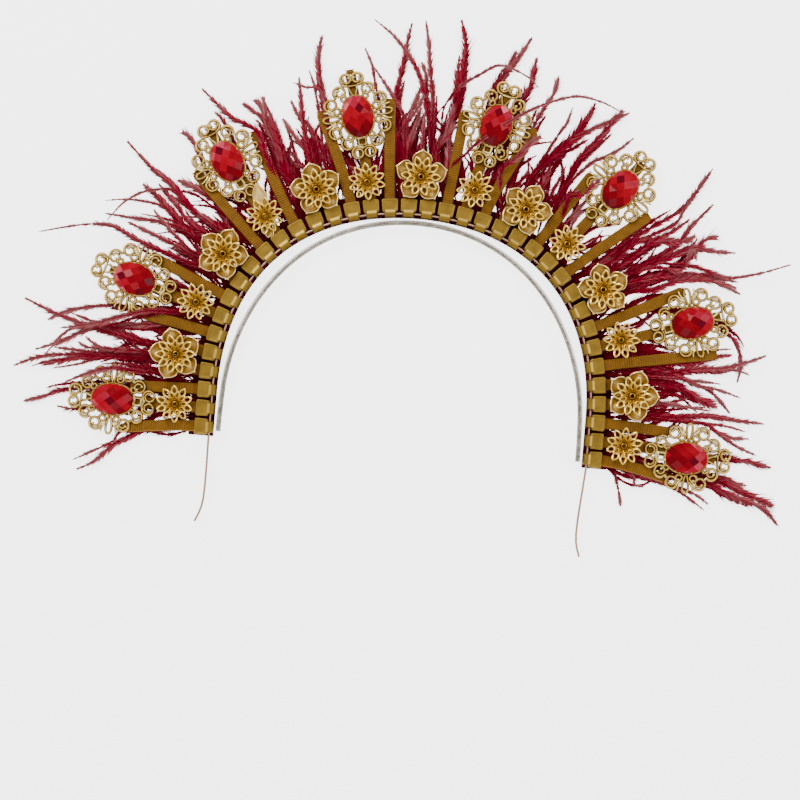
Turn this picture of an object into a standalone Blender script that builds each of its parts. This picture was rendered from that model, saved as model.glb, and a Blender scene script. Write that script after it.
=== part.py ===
"""Baroque halo headband, lying on its back as it would on a table.

A wire hoop carries a fan of cable-tie spokes. Groups of three long ties hold a filigree plate with a red
oval stone and a small flower, pairs of short ties hold a larger flower, a maroon ribbon with an ostrich
fringe backs them all, and a clear strip inside the arch sits on the head.

Metres, +Z up. The arch lies in the XY plane with its top towards +Y, and its front faces +Z. Each object
hangs on one empty at the arch's centre, which is moved so that the world origin is the middle of the
headband's footprint, at the height that it rests on. Angles run anticlockwise from +X.
"""

import math
from collections import namedtuple

import bpy
import bmesh
from mathutils import Matrix, Vector

MM = 0.001
ARCH_TOP = math.pi / 2

# The clearance between pieces that touch on the real headband
GAP = 0.3 * MM

# The wire hoop: half a circle, a little squared, on straight legs that run down as two tails. Each tail
# is its knee and its tip, in millimetres from the arch's centre.
WIRE_DIAMETER = 1.0 * MM
WIRE_RADIUS = 82.8 * MM
SQUARENESS = 1.4 * MM
WIRE_STEPS = 32
Tail = namedtuple("Tail", "knee_x knee_y tip_x tip_y")
LEFT_TAIL = Tail(-81.4, -47.9, -84.4, -58.1)
RIGHT_TAIL = Tail(79.6, -49.3, 81.7, -59.4)

# The fan of ties along the wire: groups of three long ties, with two short ties between the groups
TIE_COUNT = 38
TIE_PITCH = 7.96 * MM
TIES_IN_GROUP = 3
GROUP_STEP = 5
LAST_TIE = TIE_PITCH * (TIE_COUNT - 1) / 2

# A cable tie: its head, the loop round the wire, and the ribbed strap that leaves the head as a spoke.
# Heights are above the table, and the head's base is its distance from the wire's centre.
RIBBON_THICKNESS = 0.9 * MM
HEAD_BACK = RIBBON_THICKNESS + GAP
HEAD_WIDTH = 7.1 * MM
HEAD_HEIGHT = 5.2 * MM
HEAD_DEPTH = 5.6 * MM
HEAD_BASE = 1.2 * MM
STRAP_WIDTH = 4.7 * MM
STRAP_THICKNESS = 1.2 * MM
STRAP_HEIGHT = 3.9 * MM
STRAP_STEPS = 2
SHORT_STRAP_END = 16.0 * MM
LOOP_THICKNESS = 1.1 * MM
LOOP_RADIUS = WIRE_DIAMETER / 2 + GAP + LOOP_THICKNESS / 2
LOOP_STEPS = 3
LOOP_SUNK = 1.4 * MM
SHOULDER_SUNK = 0.6 * MM

# What is glued on the straps starts this high
TRIM_BASE = STRAP_HEIGHT + STRAP_THICKNESS / 2 + GAP

# The ribbon behind the heads, from just inside the wire to just past the heads
RIBBON_INSIDE = 1.6 * MM
RIBBON_OUTSIDE = 9.2 * MM
RIBBON_OVERRUN = 4.0 * MM

# The ostrich fringe: one lock from each length of the ribbon. Those near the middle of the space between
# two ornaments rise, the others lean towards the nearest such space, and every third one is shorter.
LOCK_COUNT = 46
RISING_SPREAD = 4.8 * MM
SHORT_LOCK = 0.86
LOCK_THICKNESS = 1.1 * MM
LOCK_LEAN = 0.25
LOCK_SWAY = math.radians(1.6)
SWAY_STEP = 2.4

# The clear strip, which meets the loops at its ends and top and falls away from them in between
STRIP_WIDTH = 7.0 * MM
STRIP_THICKNESS = 0.8 * MM
STRIP_STEPS = 29
STRIP_SAG = 3.6 * MM
STRIP_OVERRUN = 1.5 * MM

# The ornament
PLATE_THICKNESS = 1.2 * MM
PLATE_HOLE_SIDES = 4
PLATE_RING_WALL = 1.25
LOBE_SWING = math.radians(40)
VALLEY_DEPTH = 0.35
STONE_LENGTH = 18.0 * MM
STONE_WIDTH = 13.0 * MM
STONE_SIDES = 12

# The flowers: sizes in millimetres, and the number of points on a petal's edge
Flower = namedtuple("Flower", "petals points radius valley floor tip_height valley_height wall")
SMALL_FLOWER = Flower(10, 1, 7.7, 5.4, 3.6, 3.2, 2.2, 0.9)
LARGE_FLOWER = Flower(5, 3, 11.5, 6.0, 4.4, 4.4, 1.4, 1.0)
NESTED_FLOWER_LIFT = 0.6 * MM
# A petal's outer points lie this share of its width from its tip, and are this share nearer the middle
POINT_SPREAD = 0.31
POINT_SHORTFALL = 0.11

# The ornaments from the left end of the arch to the right, in millimetres and degrees. Across and out
# place the stone from where the group's middle tie crosses the wire, and spin turns the ornament on the
# spot. The tips are where the straps end, across and along the ornament from its stone.
Ornament = namedtuple("Ornament", "across out spin left_x left_y right_x right_y middle_y")
ORNAMENTS = (
    Ornament(0.4, 42.3, -1.2, -11.6, -5.0, 6.5, -7.0, 11.6),
    Ornament(0.6, 43.7, 0.3, -13.3, -2.0, 12.0, -2.0, 11.6),
    Ornament(0.8, 43.6, -5.7, -14.2, 3.4, 16.3, 6.0, 16.6),
    Ornament(-1.8, 42.4, 4.4, -15.5, 5.2, 15.1, 5.2, 19.6),
    Ornament(2.9, 43.8, -4.4, -14.6, 1.7, 16.3, 4.3, 17.0),
    Ornament(-0.3, 47.1, 4.2, -13.3, -2.2, 16.8, 0.0, 15.0),
    Ornament(-1.2, 47.0, 0.7, -14.2, 0.0, 15.5, 7.3, 12.5),
    Ornament(3.9, 42.5, 0.1, -10.3, -7.7, 9.5, -6.9, 12.5),
)

# The flowers, placed in the same way: the small ones from their middle tie, and the large ones from the
# point of the wire between their two ties
Placing = namedtuple("Placing", "across out spin")
SMALL_FLOWERS = (
    Placing(0.6, 15.6, -13.0),
    Placing(1.4, 15.7, 18.0),
    Placing(0.3, 15.4, 0.0),
    Placing(-0.7, 14.2, 0.0),
    Placing(1.5, 14.9, 0.0),
    Placing(0.2, 14.6, 14.0),
    Placing(-0.6, 15.6, -15.0),
    Placing(1.0, 15.5, 17.0),
)
LARGE_FLOWERS = (
    Placing(0.6, 17.6, 4.0),
    Placing(0.9, 16.1, -4.6),
    Placing(0.7, 15.6, -3.9),
    Placing(0.1, 16.2, 0.0),
    Placing(1.6, 15.6, -0.5),
    Placing(0.6, 15.6, 3.2),
    Placing(0.7, 17.6, -2.8),
)

# The filigree's rings in one quarter of the plate, in millimetres. The other quarters mirror them.
Ring = namedtuple("Ring", "x y radius")
PLATE_RINGS = (
    Ring(12.1, 0.0, 2.5),
    Ring(10.6, 5.4, 3.0),
    Ring(6.6, 11.2, 3.1),
    Ring(2.2, 15.8, 2.9),
)

# How far the fringe's tips reach: degrees, and millimetres from the arch's centre
Reach = namedtuple("Reach", "angle radius")
FRINGE_REACH = (
    Reach(-20.0, 166.0),
    Reach(2.0, 158.0),
    Reach(24.0, 176.0),
    Reach(41.0, 166.0),
    Reach(57.0, 158.0),
    Reach(74.0, 166.0),
    Reach(92.0, 166.0),
    Reach(112.0, 152.0),
    Reach(127.0, 158.0),
    Reach(150.0, 156.0),
    Reach(169.0, 168.0),
    Reach(182.0, 164.0),
    Reach(200.0, 142.0),
)

# A lock's stations: share of its length, then in millimetres its width, and the height of its underside
# in a lock that rises and in one that stays behind the straps
Station = namedtuple("Station", "length width high low")
LOCK_STATIONS = (
    Station(0.3, 4.4, 0.4, 0.1),
    Station(0.66, 3.2, 6.0, 1.0),
    Station(1.0, 0.9, 15.0, 1.8),
)


def polar(radius, angle, height=0.0):
    return Vector((radius * math.cos(angle), radius * math.sin(angle), height))


# A place is a point in the arch's plane, with the turn about Z that brings +Y to point outwards there.


def hoop_place(distance):
    """The place on the wire at a distance along it, clockwise from the top."""
    down_leg = max(abs(distance) - WIRE_RADIUS * math.pi / 2, 0)
    angle = ARCH_TOP - math.copysign(abs(distance) - down_leg, distance) / WIRE_RADIUS
    radius = WIRE_RADIUS - SQUARENESS * math.cos(4 * angle)
    lean = math.atan2(4 * SQUARENESS * math.sin(4 * angle), radius)
    return polar(radius, angle) - Vector((0, down_leg, 0)), angle - lean - ARCH_TOP


def tie_place(index):
    return hoop_place(TIE_PITCH * index - LAST_TIE)


def point_at(place, across, out, height=0.0):
    """The point at a distance across and outwards from a place."""
    origin, turn = place
    return origin + polar(across, turn) + polar(out, turn + ARCH_TOP) + Vector((0, 0, height))


def seen_from(place, point):
    """A point of the arch's plane in the axes of a place."""
    origin, turn = place
    offset = point - origin
    return Vector((offset.dot(polar(1, turn)), offset.dot(polar(1, turn + ARCH_TOP)), 0))


def placed_from(place, placing):
    """The place that a row of millimetres across and out, and degrees of spin, gives from another."""
    centre = point_at(place, placing.across * MM, placing.out * MM)
    return centre, place[1] + math.radians(placing.spin)


def material(name, colour, roughness, metallic=0.0, transmission=0.0):
    made = bpy.data.materials.new(name)
    made.use_nodes = True
    shader = made.node_tree.nodes["Principled BSDF"]
    shader.inputs["Base Color"].default_value = (*colour, 1.0)
    shader.inputs["Roughness"].default_value = roughness
    shader.inputs["Metallic"].default_value = metallic
    shader.inputs["Transmission Weight"].default_value = transmission
    made.diffuse_color = (*colour, 1.0)
    return made


def add_object(name, data, finish, place=(Vector((0, 0, 0)), 0.0), height=0.0):
    """An object with one finish, at a place and at a height above the table."""
    made = bpy.data.objects.new(name, data)
    if not data.materials:
        data.materials.append(finish)
    bpy.context.collection.objects.link(made)
    made.parent = bpy.data.objects["arch_centre"]
    made.location = place[0] + Vector((0, 0, height))
    made.rotation_euler.z = place[1]


def mesh_of(name, points, faces):
    """A mesh whose faces all point outwards."""
    data = bpy.data.meshes.new(name)
    data.from_pydata([tuple(point) for point in points], [], faces)
    shape = bmesh.new()
    shape.from_mesh(data)
    bmesh.ops.recalc_face_normals(shape, faces=shape.faces)
    shape.to_mesh(data)
    shape.free()
    return data


def skin(name, sections):
    """A closed body through rings of equal length, whose first and last rings are filled."""
    sides = len(sections[0])
    points = [point for section in sections for point in section]
    faces = []
    for start in range(0, len(points) - sides, sides):
        for side in range(sides):
            after = (side + 1) % sides
            faces.append((start + side, start + after, start + sides + after, start + sides + side))
    faces.append(tuple(range(sides)))
    faces.append(tuple(range(len(points) - sides, len(points))))
    return mesh_of(name, points, faces)


def oblong(centre, across, through):
    """The corners of a four-sided section, from its centre and its half sizes as vectors."""
    return [
        centre + across + through,
        centre - across + through,
        centre - across - through,
        centre + across - through,
    ]


def united(name, meshes):
    """The union of closed meshes."""
    helpers = [bpy.data.objects.new(f"{name}_{number}", data) for number, data in enumerate(meshes)]
    for helper in helpers:
        bpy.context.collection.objects.link(helper)
    for helper in helpers[1:]:
        join = helpers[0].modifiers.new(helper.name, "BOOLEAN")
        join.operation = "UNION"
        join.object = helper
    graph = bpy.context.evaluated_depsgraph_get()
    joined = bpy.data.meshes.new_from_object(helpers[0].evaluated_get(graph))
    for helper in helpers:
        bpy.data.objects.remove(helper)
    joined.name = name
    return joined


def moved(data, place, height=0.0):
    """The same mesh, turned and moved to a place and a height."""
    shift = Matrix.Translation(place[0] + Vector((0, 0, height)))
    data.transform(shift @ Matrix.Rotation(place[1], 4, "Z"))
    return data


def head_mesh():
    middle = Vector((0, HEAD_BASE, HEAD_BACK + HEAD_DEPTH / 2))
    across = Vector((HEAD_WIDTH / 2, 0, 0))
    through = Vector((0, 0, HEAD_DEPTH / 2))
    outer = middle + Vector((0, HEAD_HEIGHT, 0))
    return skin("head", [oblong(middle, across, through), oblong(outer, across, through)])


def loop_mesh():
    """The tie's neck: out of the head's front, round the wire, and back in where the strap runs."""
    centre = Vector((0, 0, STRAP_HEIGHT + LOOP_RADIUS))
    inside_head = HEAD_BASE + LOOP_SUNK
    shoulder = Vector((0, HEAD_BASE + SHOULDER_SUNK, centre.z + LOOP_RADIUS))
    line = [Vector((0, inside_head, shoulder.z - LOOP_THICKNESS)), shoulder]
    for step in range(LOOP_STEPS + 1):
        turn = math.pi / 2 + math.pi * step / LOOP_STEPS
        line.append(centre + Vector((0, math.cos(turn), math.sin(turn))) * LOOP_RADIUS)
    line.append(Vector((0, inside_head, STRAP_HEIGHT)))
    across = Vector((STRAP_WIDTH / 2, 0, 0))
    sections = []
    for number, point in enumerate(line):
        along = (line[min(number + 1, len(line) - 1)] - line[max(number - 1, 0)]).normalized()
        through = Vector((0, -along.z, along.y)) * LOOP_THICKNESS / 2
        sections.append(oblong(point, across, through))
    return skin("loop", sections)


def strap_mesh(tip):
    """The spoke: it leaves the head straight and bends gently to its tip, a point in the tie's axes."""
    start = Vector((0, HEAD_BASE + HEAD_HEIGHT / 2, STRAP_HEIGHT))
    end = Vector((tip.x, tip.y, STRAP_HEIGHT))
    bend = start + Vector((0, (end - start).length / 3, 0))
    through = Vector((0, 0, STRAP_THICKNESS / 2))
    sections = []
    for step in range(STRAP_STEPS + 1):
        share = step / STRAP_STEPS
        point = start.lerp(bend, share).lerp(bend.lerp(end, share), share)
        along = (bend - start).lerp(end - bend, share)
        across = Vector((along.y, -along.x, 0)).normalized() * STRAP_WIDTH / 2
        sections.append(oblong(point, across, through))
    return skin("strap", sections)


def add_long_ties(number, ornament, stone_place, finish):
    tips = {
        "left": (ornament.left_x, ornament.left_y),
        "middle": (0.0, ornament.middle_y),
        "right": (ornament.right_x, ornament.right_y),
    }
    for step, (side, (x, y)) in enumerate(tips.items()):
        place = tie_place(number * GROUP_STEP + step)
        tip = seen_from(place, point_at(stone_place, x * MM, y * MM))
        name = f"tie_{number + 1}_{side}"
        add_object(name, united(name, [head_mesh(), loop_mesh(), strap_mesh(tip)]), finish, place)


def add_loop(curve, points):
    """A closed run of straight lines in a curve, from points in millimetres."""
    spline = curve.splines.new("POLY")
    spline.points.add(len(points) - 1)
    for target, point in zip(spline.points, points):
        target.co = (point.x * MM, point.y * MM, 0, 1)
    spline.use_cyclic_u = True


def plate_curve():
    """The filigree as an extruded flat curve: a lobe round each ring, and a hole through each ring."""
    rings = []
    for x, y, radius in PLATE_RINGS:
        for corner in {(x, y), (-x, y), (-x, -y), (x, -y)}:
            rings.append((Vector((*corner, 0)), radius))
    rings.sort(key=lambda ring: math.atan2(ring[0].y, ring[0].x))
    curve = bpy.data.curves.new("filigree", "CURVE")
    curve.dimensions = "2D"
    curve.fill_mode = "BOTH"
    curve.extrude = PLATE_THICKNESS / 2
    outline = []
    for number, (centre, radius) in enumerate(rings):
        before, after = rings[number - 1][0], rings[(number + 1) % len(rings)][0]
        bulge = math.atan2(before.x - after.x, after.y - before.y)
        for swing in (-LOBE_SWING, LOBE_SWING):
            outline.append(centre + polar(radius, bulge + swing))
        valley = math.atan2(centre.x - after.x, after.y - centre.y)
        outline.append((centre + after) / 2 + polar(radius * VALLEY_DEPTH, valley))
        hole = []
        for side in range(PLATE_HOLE_SIDES):
            angle = bulge + 2 * math.pi * side / PLATE_HOLE_SIDES
            hole.append(centre + polar(radius - PLATE_RING_WALL, angle))
        add_loop(curve, hole)
    add_loop(curve, outline)
    return curve


def stone_mesh():
    """An oval stone with a flat back, a girdle, two rows of facets and a table."""
    # height in millimetres, share of the outline, and turn of the row in facets
    rows = ((0.0, 0.92, 0.0), (0.7, 1.0, 0.0), (1.3, 1.0, 0.0), (3.0, 0.82, 0.5), (4.4, 0.5, 0.0))
    sections = []
    for height, share, turn in rows:
        section = []
        for step in range(STONE_SIDES):
            angle = 2 * math.pi * (step + turn) / STONE_SIDES
            x = STONE_WIDTH / 2 * share * math.cos(angle)
            y = STONE_LENGTH / 2 * share * math.sin(angle)
            section.append(Vector((x, y, height * MM)))
        sections.append(section)
    return skin("stone", sections)


def flower_rim(flower):
    """The rim's points, petal by petal: the valley before the petal, then its one or three points."""
    step = 2 * math.pi / flower.petals
    rim = []
    for petal in range(flower.petals):
        angle = ARCH_TOP + petal * step
        rim.append(polar(flower.valley, angle - step / 2, flower.valley_height))
        for number in range(flower.points):
            swing = number - (flower.points - 1) / 2
            radius = flower.radius * (1 - POINT_SHORTFALL * abs(swing))
            rim.append(polar(radius, angle + POINT_SPREAD * swing * step, flower.tip_height))
    return rim


def flower_mesh(flower):
    """A cup with a flat floor and a rim of petals, its inside and outside a wall's thickness apart."""
    petals, size = flower.petals, flower.points + 1
    step = 2 * math.pi / petals
    floor = [polar(flower.floor, ARCH_TOP + (petal - 0.5) * step) for petal in range(petals)]
    rim = flower_rim(flower)
    outside = [point * MM for point in floor + rim]
    inside = [point + Vector((0, 0, flower.wall * MM)) for point in outside]
    faces = []
    for base in (0, len(outside)):
        faces.append(tuple(range(base, base + petals)))
        for petal in range(petals):
            here, after = base + petal, base + (petal + 1) % petals
            edge = [base + petals + (petal * size + n) % len(rim) for n in range(size + 1)]
            peak = (size + 1) // 2
            faces += [(here, edge[n], edge[n + 1]) for n in range(peak)]
            faces.append((here, edge[peak], after))
            faces += [(after, edge[n], edge[n + 1]) for n in range(peak, size)]
    for n in range(len(rim)):
        here, after = petals + n, petals + (n + 1) % len(rim)
        faces.append((here, after, len(outside) + after, len(outside) + here))
    return mesh_of("flower", outside + inside, faces)


def add_large_flower(number, placing, finish):
    """A large flower, with a small one nested in it, glued on the cut-off straps of two short ties."""
    first = number * GROUP_STEP + TIES_IN_GROUP
    middle = hoop_place(TIE_PITCH * (first + 0.5) - LAST_TIE)
    glued_at = STRAP_HEIGHT + STRAP_THICKNESS / 4
    centre, turn = placed_from(middle, placing)
    flower_place = (seen_from(middle, centre), turn - middle[1])
    parts = [
        moved(flower_mesh(LARGE_FLOWER), flower_place, glued_at),
        moved(flower_mesh(SMALL_FLOWER), flower_place, glued_at + NESTED_FLOWER_LIFT),
    ]
    for index in (first, first + 1):
        origin, turn = tie_place(index)
        place = (seen_from(middle, origin), turn - middle[1])
        for data in (head_mesh(), loop_mesh(), strap_mesh(Vector((0, SHORT_STRAP_END, 0)))):
            parts.append(moved(data, place))
    name = f"flower_and_ties_{number + 1}"
    add_object(name, united(name, parts), finish, middle)


def hoop_curve():
    """The wire: along the hoop, then a straight tail at each end with its tip bent outwards."""
    height = STRAP_HEIGHT + LOOP_RADIUS
    line = [(LEFT_TAIL.tip_x * MM, LEFT_TAIL.tip_y * MM), (LEFT_TAIL.knee_x * MM, LEFT_TAIL.knee_y * MM)]
    end = LAST_TIE + STRAP_WIDTH
    for step in range(WIRE_STEPS + 1):
        line.append(hoop_place(end * (2 * step / WIRE_STEPS - 1))[0].xy)
    line.append((RIGHT_TAIL.knee_x * MM, RIGHT_TAIL.knee_y * MM))
    line.append((RIGHT_TAIL.tip_x * MM, RIGHT_TAIL.tip_y * MM))
    curve = bpy.data.curves.new("wire_hoop", "CURVE")
    curve.dimensions = "3D"
    curve.bevel_depth = WIRE_DIAMETER / 2
    curve.bevel_resolution = 1
    curve.use_fill_caps = True
    spline = curve.splines.new("POLY")
    spline.points.add(len(line) - 1)
    for target, (x, y) in zip(spline.points, line):
        target.co = (x, y, height, 1)
    return curve


def strip_mesh():
    end = LAST_TIE + STRIP_OVERRUN
    clearance = LOOP_RADIUS + LOOP_THICKNESS / 2 + GAP + STRIP_THICKNESS / 2
    through = Vector((0, 0, STRIP_WIDTH / 2))
    sections = []
    for step in range(STRIP_STEPS + 1):
        distance = end * (2 * step / STRIP_STEPS - 1)
        place = hoop_place(distance)
        sag = STRIP_SAG * math.sin(math.pi * distance / end) ** 2
        centre = point_at(place, 0, -clearance - sag, STRIP_WIDTH / 2)
        sections.append(oblong(centre, polar(STRIP_THICKNESS / 2, place[1] + ARCH_TOP), through))
    return skin("clear_strip", sections)


def fringe_reach(angle):
    """The fringe's outline, read from its table."""
    place = math.degrees(angle)
    for first, last in zip(FRINGE_REACH, FRINGE_REACH[1:]):
        if place <= last.angle:
            break
    share = (place - first.angle) / (last.angle - first.angle)
    return (first.radius + (last.radius - first.radius) * share) * MM


def lock_tip(number, distance, root):
    """Where a lock's tip lies, from its number, its distance along the hoop and its root."""
    from_space = distance_from_space(distance)
    lean = LOCK_LEAN * from_space / WIRE_RADIUS + LOCK_SWAY * math.sin(SWAY_STEP * number)
    angle = math.atan2(-root.x, root.y) + ARCH_TOP - lean
    return polar(fringe_reach(angle) * (1 if number % 3 else SHORT_LOCK), angle)


def distance_from_space(distance):
    """How far a point of the hoop is from the nearest middle between two ornaments."""
    step = TIE_PITCH * GROUP_STEP
    return (distance + step / 2) % step - step / 2


def fringe_mesh():
    """The maroon ribbon, with a tapering lock drawn out of each stretch of its outer edge."""
    end = LAST_TIE + RIBBON_OVERRUN
    points, faces = [], []
    for number in range(LOCK_COUNT + 1):
        place = hoop_place(end * (2 * number / LOCK_COUNT - 1))
        for out, height in (
            (-RIBBON_INSIDE, 0),
            (RIBBON_OUTSIDE, 0),
            (RIBBON_OUTSIDE, RIBBON_THICKNESS),
            (-RIBBON_INSIDE, RIBBON_THICKNESS),
        ):
            points.append(point_at(place, 0, out, height))
    for here in range(0, 4 * LOCK_COUNT, 4):
        for low, high in ((0, 1), (2, 3), (3, 0)):
            faces.append((here + low, here + high, here + 4 + high, here + 4 + low))
    faces.append((0, 1, 2, 3))
    faces.append(tuple(4 * LOCK_COUNT + n for n in range(4)))
    for number in range(LOCK_COUNT):
        distance = end * ((2 * number + 1) / LOCK_COUNT - 1)
        root = point_at(hoop_place(distance), 0, RIBBON_OUTSIDE)
        tip = lock_tip(number, distance, root)
        half_across = polar(MM / 2, math.atan2(tip.y - root.y, tip.x - root.x) - ARCH_TOP)
        rises = abs(distance_from_space(distance)) < RISING_SPREAD
        edge = [4 * number + 1, 4 * number + 5, 4 * number + 6, 4 * number + 2]
        for station in LOCK_STATIONS:
            centre = root.lerp(tip, station.length)
            centre.z = (station.high if rises else station.low) * MM
            side_step = half_across * station.width
            lift = Vector((0, 0, LOCK_THICKNESS * (1 - station.length / 2)))
            ring = [len(points) + n for n in range(4)]
            points += [centre - side_step, centre + side_step]
            points += [centre + side_step + lift, centre - side_step + lift]
            for side in range(4):
                after = (side + 1) % 4
                faces.append((edge[side], edge[after], ring[after], ring[side]))
            edge = ring
        faces.append(tuple(edge))
    return mesh_of("feather_fringe", points, faces)


def settle_on_origin():
    """Moves the arch's centre so that the footprint's middle and the lowest point are at the origin."""
    bpy.context.view_layer.update()
    graph = bpy.context.evaluated_depsgraph_get()
    corners = []
    for thing in bpy.context.scene.objects:
        if thing.type != "EMPTY":
            shaped = thing.evaluated_get(graph)
            corners += [shaped.matrix_world @ vertex.co for vertex in shaped.to_mesh().vertices]
            shaped.to_mesh_clear()
    low = [min(point[axis] for point in corners) for axis in range(3)]
    high = [max(point[axis] for point in corners) for axis in range(3)]
    middle = (-(low[0] + high[0]) / 2, -(low[1] + high[1]) / 2, -low[2])
    bpy.data.objects["arch_centre"].location = middle


def main():
    for thing in list(bpy.data.objects):
        bpy.data.objects.remove(thing)
    bpy.context.collection.objects.link(bpy.data.objects.new("arch_centre", None))

    gold_plastic = material("gold_plastic", (0.42, 0.27, 0.05), 0.45)
    gold_metal = material("gold_metal", (0.83, 0.58, 0.22), 0.28, metallic=1.0)
    wire_metal = material("wire_metal", (0.55, 0.36, 0.22), 0.35, metallic=1.0)
    ruby_glass = material("ruby_glass", (0.62, 0.01, 0.03), 0.05, transmission=0.4)
    maroon_feather = material("maroon_feather", (0.2, 0.01, 0.035), 0.8)
    clear_plastic = material("clear_plastic", (0.85, 0.83, 0.79), 0.15, transmission=0.9)

    add_object("wire_hoop", hoop_curve(), wire_metal)
    add_object("clear_strip", strip_mesh(), clear_plastic)
    add_object("feather_fringe", fringe_mesh(), maroon_feather)

    plate, stone, small_flower = plate_curve(), stone_mesh(), flower_mesh(SMALL_FLOWER)
    plate_height = TRIM_BASE + PLATE_THICKNESS / 2
    stone_height = TRIM_BASE + PLATE_THICKNESS + GAP
    for number, ornament in enumerate(ORNAMENTS):
        middle_tie = tie_place(number * GROUP_STEP + 1)
        place = placed_from(middle_tie, ornament)
        flower_place = placed_from(middle_tie, SMALL_FLOWERS[number])
        add_long_ties(number, ornament, place, gold_plastic)
        add_object(f"filigree_{number + 1}", plate, gold_metal, place, plate_height)
        add_object(f"stone_{number + 1}", stone, ruby_glass, place, stone_height)
        add_object(f"small_flower_{number + 1}", small_flower, gold_metal, flower_place, TRIM_BASE)
    for number, placing in enumerate(LARGE_FLOWERS):
        add_large_flower(number, placing, gold_metal)
    settle_on_origin()


main()
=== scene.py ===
# %% [markdown]
# # A baroque halo headband
# A wire hoop carries a fan of golden cable ties. Filigree plates with red oval stones are glued on the long
# ties, metal flowers on the short ones, and a ribbon with an ostrich fringe is stitched behind them. The
# solids already say where everything sits, so this lesson only adds what the eye sees.

# %% Open the frame and keep its box
import random
from collections import namedtuple
from math import atan2, ceil, copysign, cos, pi, radians, sin

import bmesh
import bpy
from mathutils import Matrix, Vector


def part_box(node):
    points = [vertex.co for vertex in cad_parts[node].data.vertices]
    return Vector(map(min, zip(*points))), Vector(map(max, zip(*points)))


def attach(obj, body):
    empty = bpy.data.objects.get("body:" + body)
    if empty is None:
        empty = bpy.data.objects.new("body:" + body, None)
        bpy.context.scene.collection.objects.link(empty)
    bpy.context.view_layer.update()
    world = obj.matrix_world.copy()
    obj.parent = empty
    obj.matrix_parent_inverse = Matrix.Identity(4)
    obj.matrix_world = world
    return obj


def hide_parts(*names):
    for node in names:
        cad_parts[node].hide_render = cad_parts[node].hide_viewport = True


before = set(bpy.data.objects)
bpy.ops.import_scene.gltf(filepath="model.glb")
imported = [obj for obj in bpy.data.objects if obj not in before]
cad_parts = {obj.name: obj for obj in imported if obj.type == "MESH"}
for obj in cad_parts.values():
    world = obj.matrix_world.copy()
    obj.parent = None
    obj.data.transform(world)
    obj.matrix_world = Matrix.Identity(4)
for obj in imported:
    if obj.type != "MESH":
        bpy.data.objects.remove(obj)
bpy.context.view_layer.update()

# %% [markdown]
# ## The driving sizes
# The real headband was measured along its wire: thirty-eight ties, one every 8 mm. The same few sizes that
# drive the solids drive the looks, so every detail lands on the solid that it dresses. Only the arch's
# centre is read from the frame, because the frame's origin is the middle of the whole footprint.

# %% Sizes of the hoop and the ties
MM = 0.001
UP = Vector((0, 0, 1))
QUARTER = pi / 2
GAP = 0.3 * MM

WIRE_DIAMETER = 1.0 * MM
WIRE_RADIUS = 82.8 * MM
SQUARENESS = 1.4 * MM
TIE_COUNT = 38
TIE_PITCH = 7.96 * MM
TIES_IN_GROUP = 3
GROUP_STEP = 5
LAST_TIE = TIE_PITCH * (TIE_COUNT - 1) / 2

HEAD_BACK = 1.2 * MM
HEAD_WIDTH = 7.1 * MM
HEAD_HEIGHT = 5.5 * MM
HEAD_DEPTH = 5.6 * MM
HEAD_BASE = 0.9 * MM
STRAP_WIDTH = 4.7 * MM
STRAP_THICKNESS = 1.2 * MM
STRAP_HEIGHT = 3.9 * MM
SHORT_STRAP_END = 16.0 * MM
LOOP_THICKNESS = 1.1 * MM
LOOP_RADIUS = WIRE_DIAMETER / 2 + GAP + LOOP_THICKNESS / 2
WIRE_HEIGHT = STRAP_HEIGHT + LOOP_RADIUS
TRIM_BASE = STRAP_HEIGHT + STRAP_THICKNESS / 2 + GAP

strip_low, strip_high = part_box("clear_strip")
hoop_top = WIRE_RADIUS - SQUARENESS + WIRE_DIAMETER / 2
ARCH_CENTRE = Vector(((strip_low.x + strip_high.x) / 2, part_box("wire_hoop")[1].y - hoop_top, 0))
print("arch centre:", [round(value / MM, 2) for value in ARCH_CENTRE], "mm")

# %% [markdown]
# ## Places along the wire
# A place is a point in the arch's plane together with the turn that makes +Y point outwards there. With it,
# a tie, a flower or a feather is modelled once, upright at the origin, and then set down anywhere on the
# hoop. Working in such local axes is easier than placing every vertex on a curve.


# %% Walk along the wire
def polar(radius, angle, height=0.0):
    return Vector((radius * cos(angle), radius * sin(angle), height))


def hoop_place(distance):
    """The place on the wire at a distance along it, clockwise from the top."""
    down_leg = max(abs(distance) - WIRE_RADIUS * QUARTER, 0)
    angle = QUARTER - copysign(abs(distance) - down_leg, distance) / WIRE_RADIUS
    radius = WIRE_RADIUS - SQUARENESS * cos(4 * angle)
    lean = atan2(4 * SQUARENESS * sin(4 * angle), radius)
    return ARCH_CENTRE + polar(radius, angle) - Vector((0, down_leg, 0)), angle - lean - QUARTER


def tie_place(index):
    return hoop_place(TIE_PITCH * index - LAST_TIE)


def point_at(place, across, out, height=0.0):
    """The point at a distance across and outwards from a place."""
    origin, turn = place
    return origin + polar(across, turn) + polar(out, turn + QUARTER) + Vector((0, 0, height))


def seen_from(place, point):
    """A point of the arch's plane in the axes of a place."""
    origin, turn = place
    offset = point - origin
    return Vector((offset.dot(polar(1, turn)), offset.dot(polar(1, turn + QUARTER)), 0))


def setting(place, height=0.0, spin=0.0, size=1.0):
    """The matrix that takes something from the origin to a place and a height."""
    turn = Matrix.Rotation(place[1] + radians(spin), 4, "Z") @ Matrix.Scale(size, 4)
    return Matrix.Translation(place[0] + UP * height) @ turn


def spread(end, steps):
    """Distances along the wire, in equal steps from one end to the other."""
    return [end * (2 * step / steps - 1) for step in range(steps + 1)]


def around(count, offset=0.0):
    """The angles of equal steps round a circle."""
    return [2 * pi * (step + offset) / count for step in range(count)]


def run_of(path, number):
    """The way that a path runs at one of its points."""
    return path[min(number + 1, len(path) - 1)] - path[max(number - 1, 0)]


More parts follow.
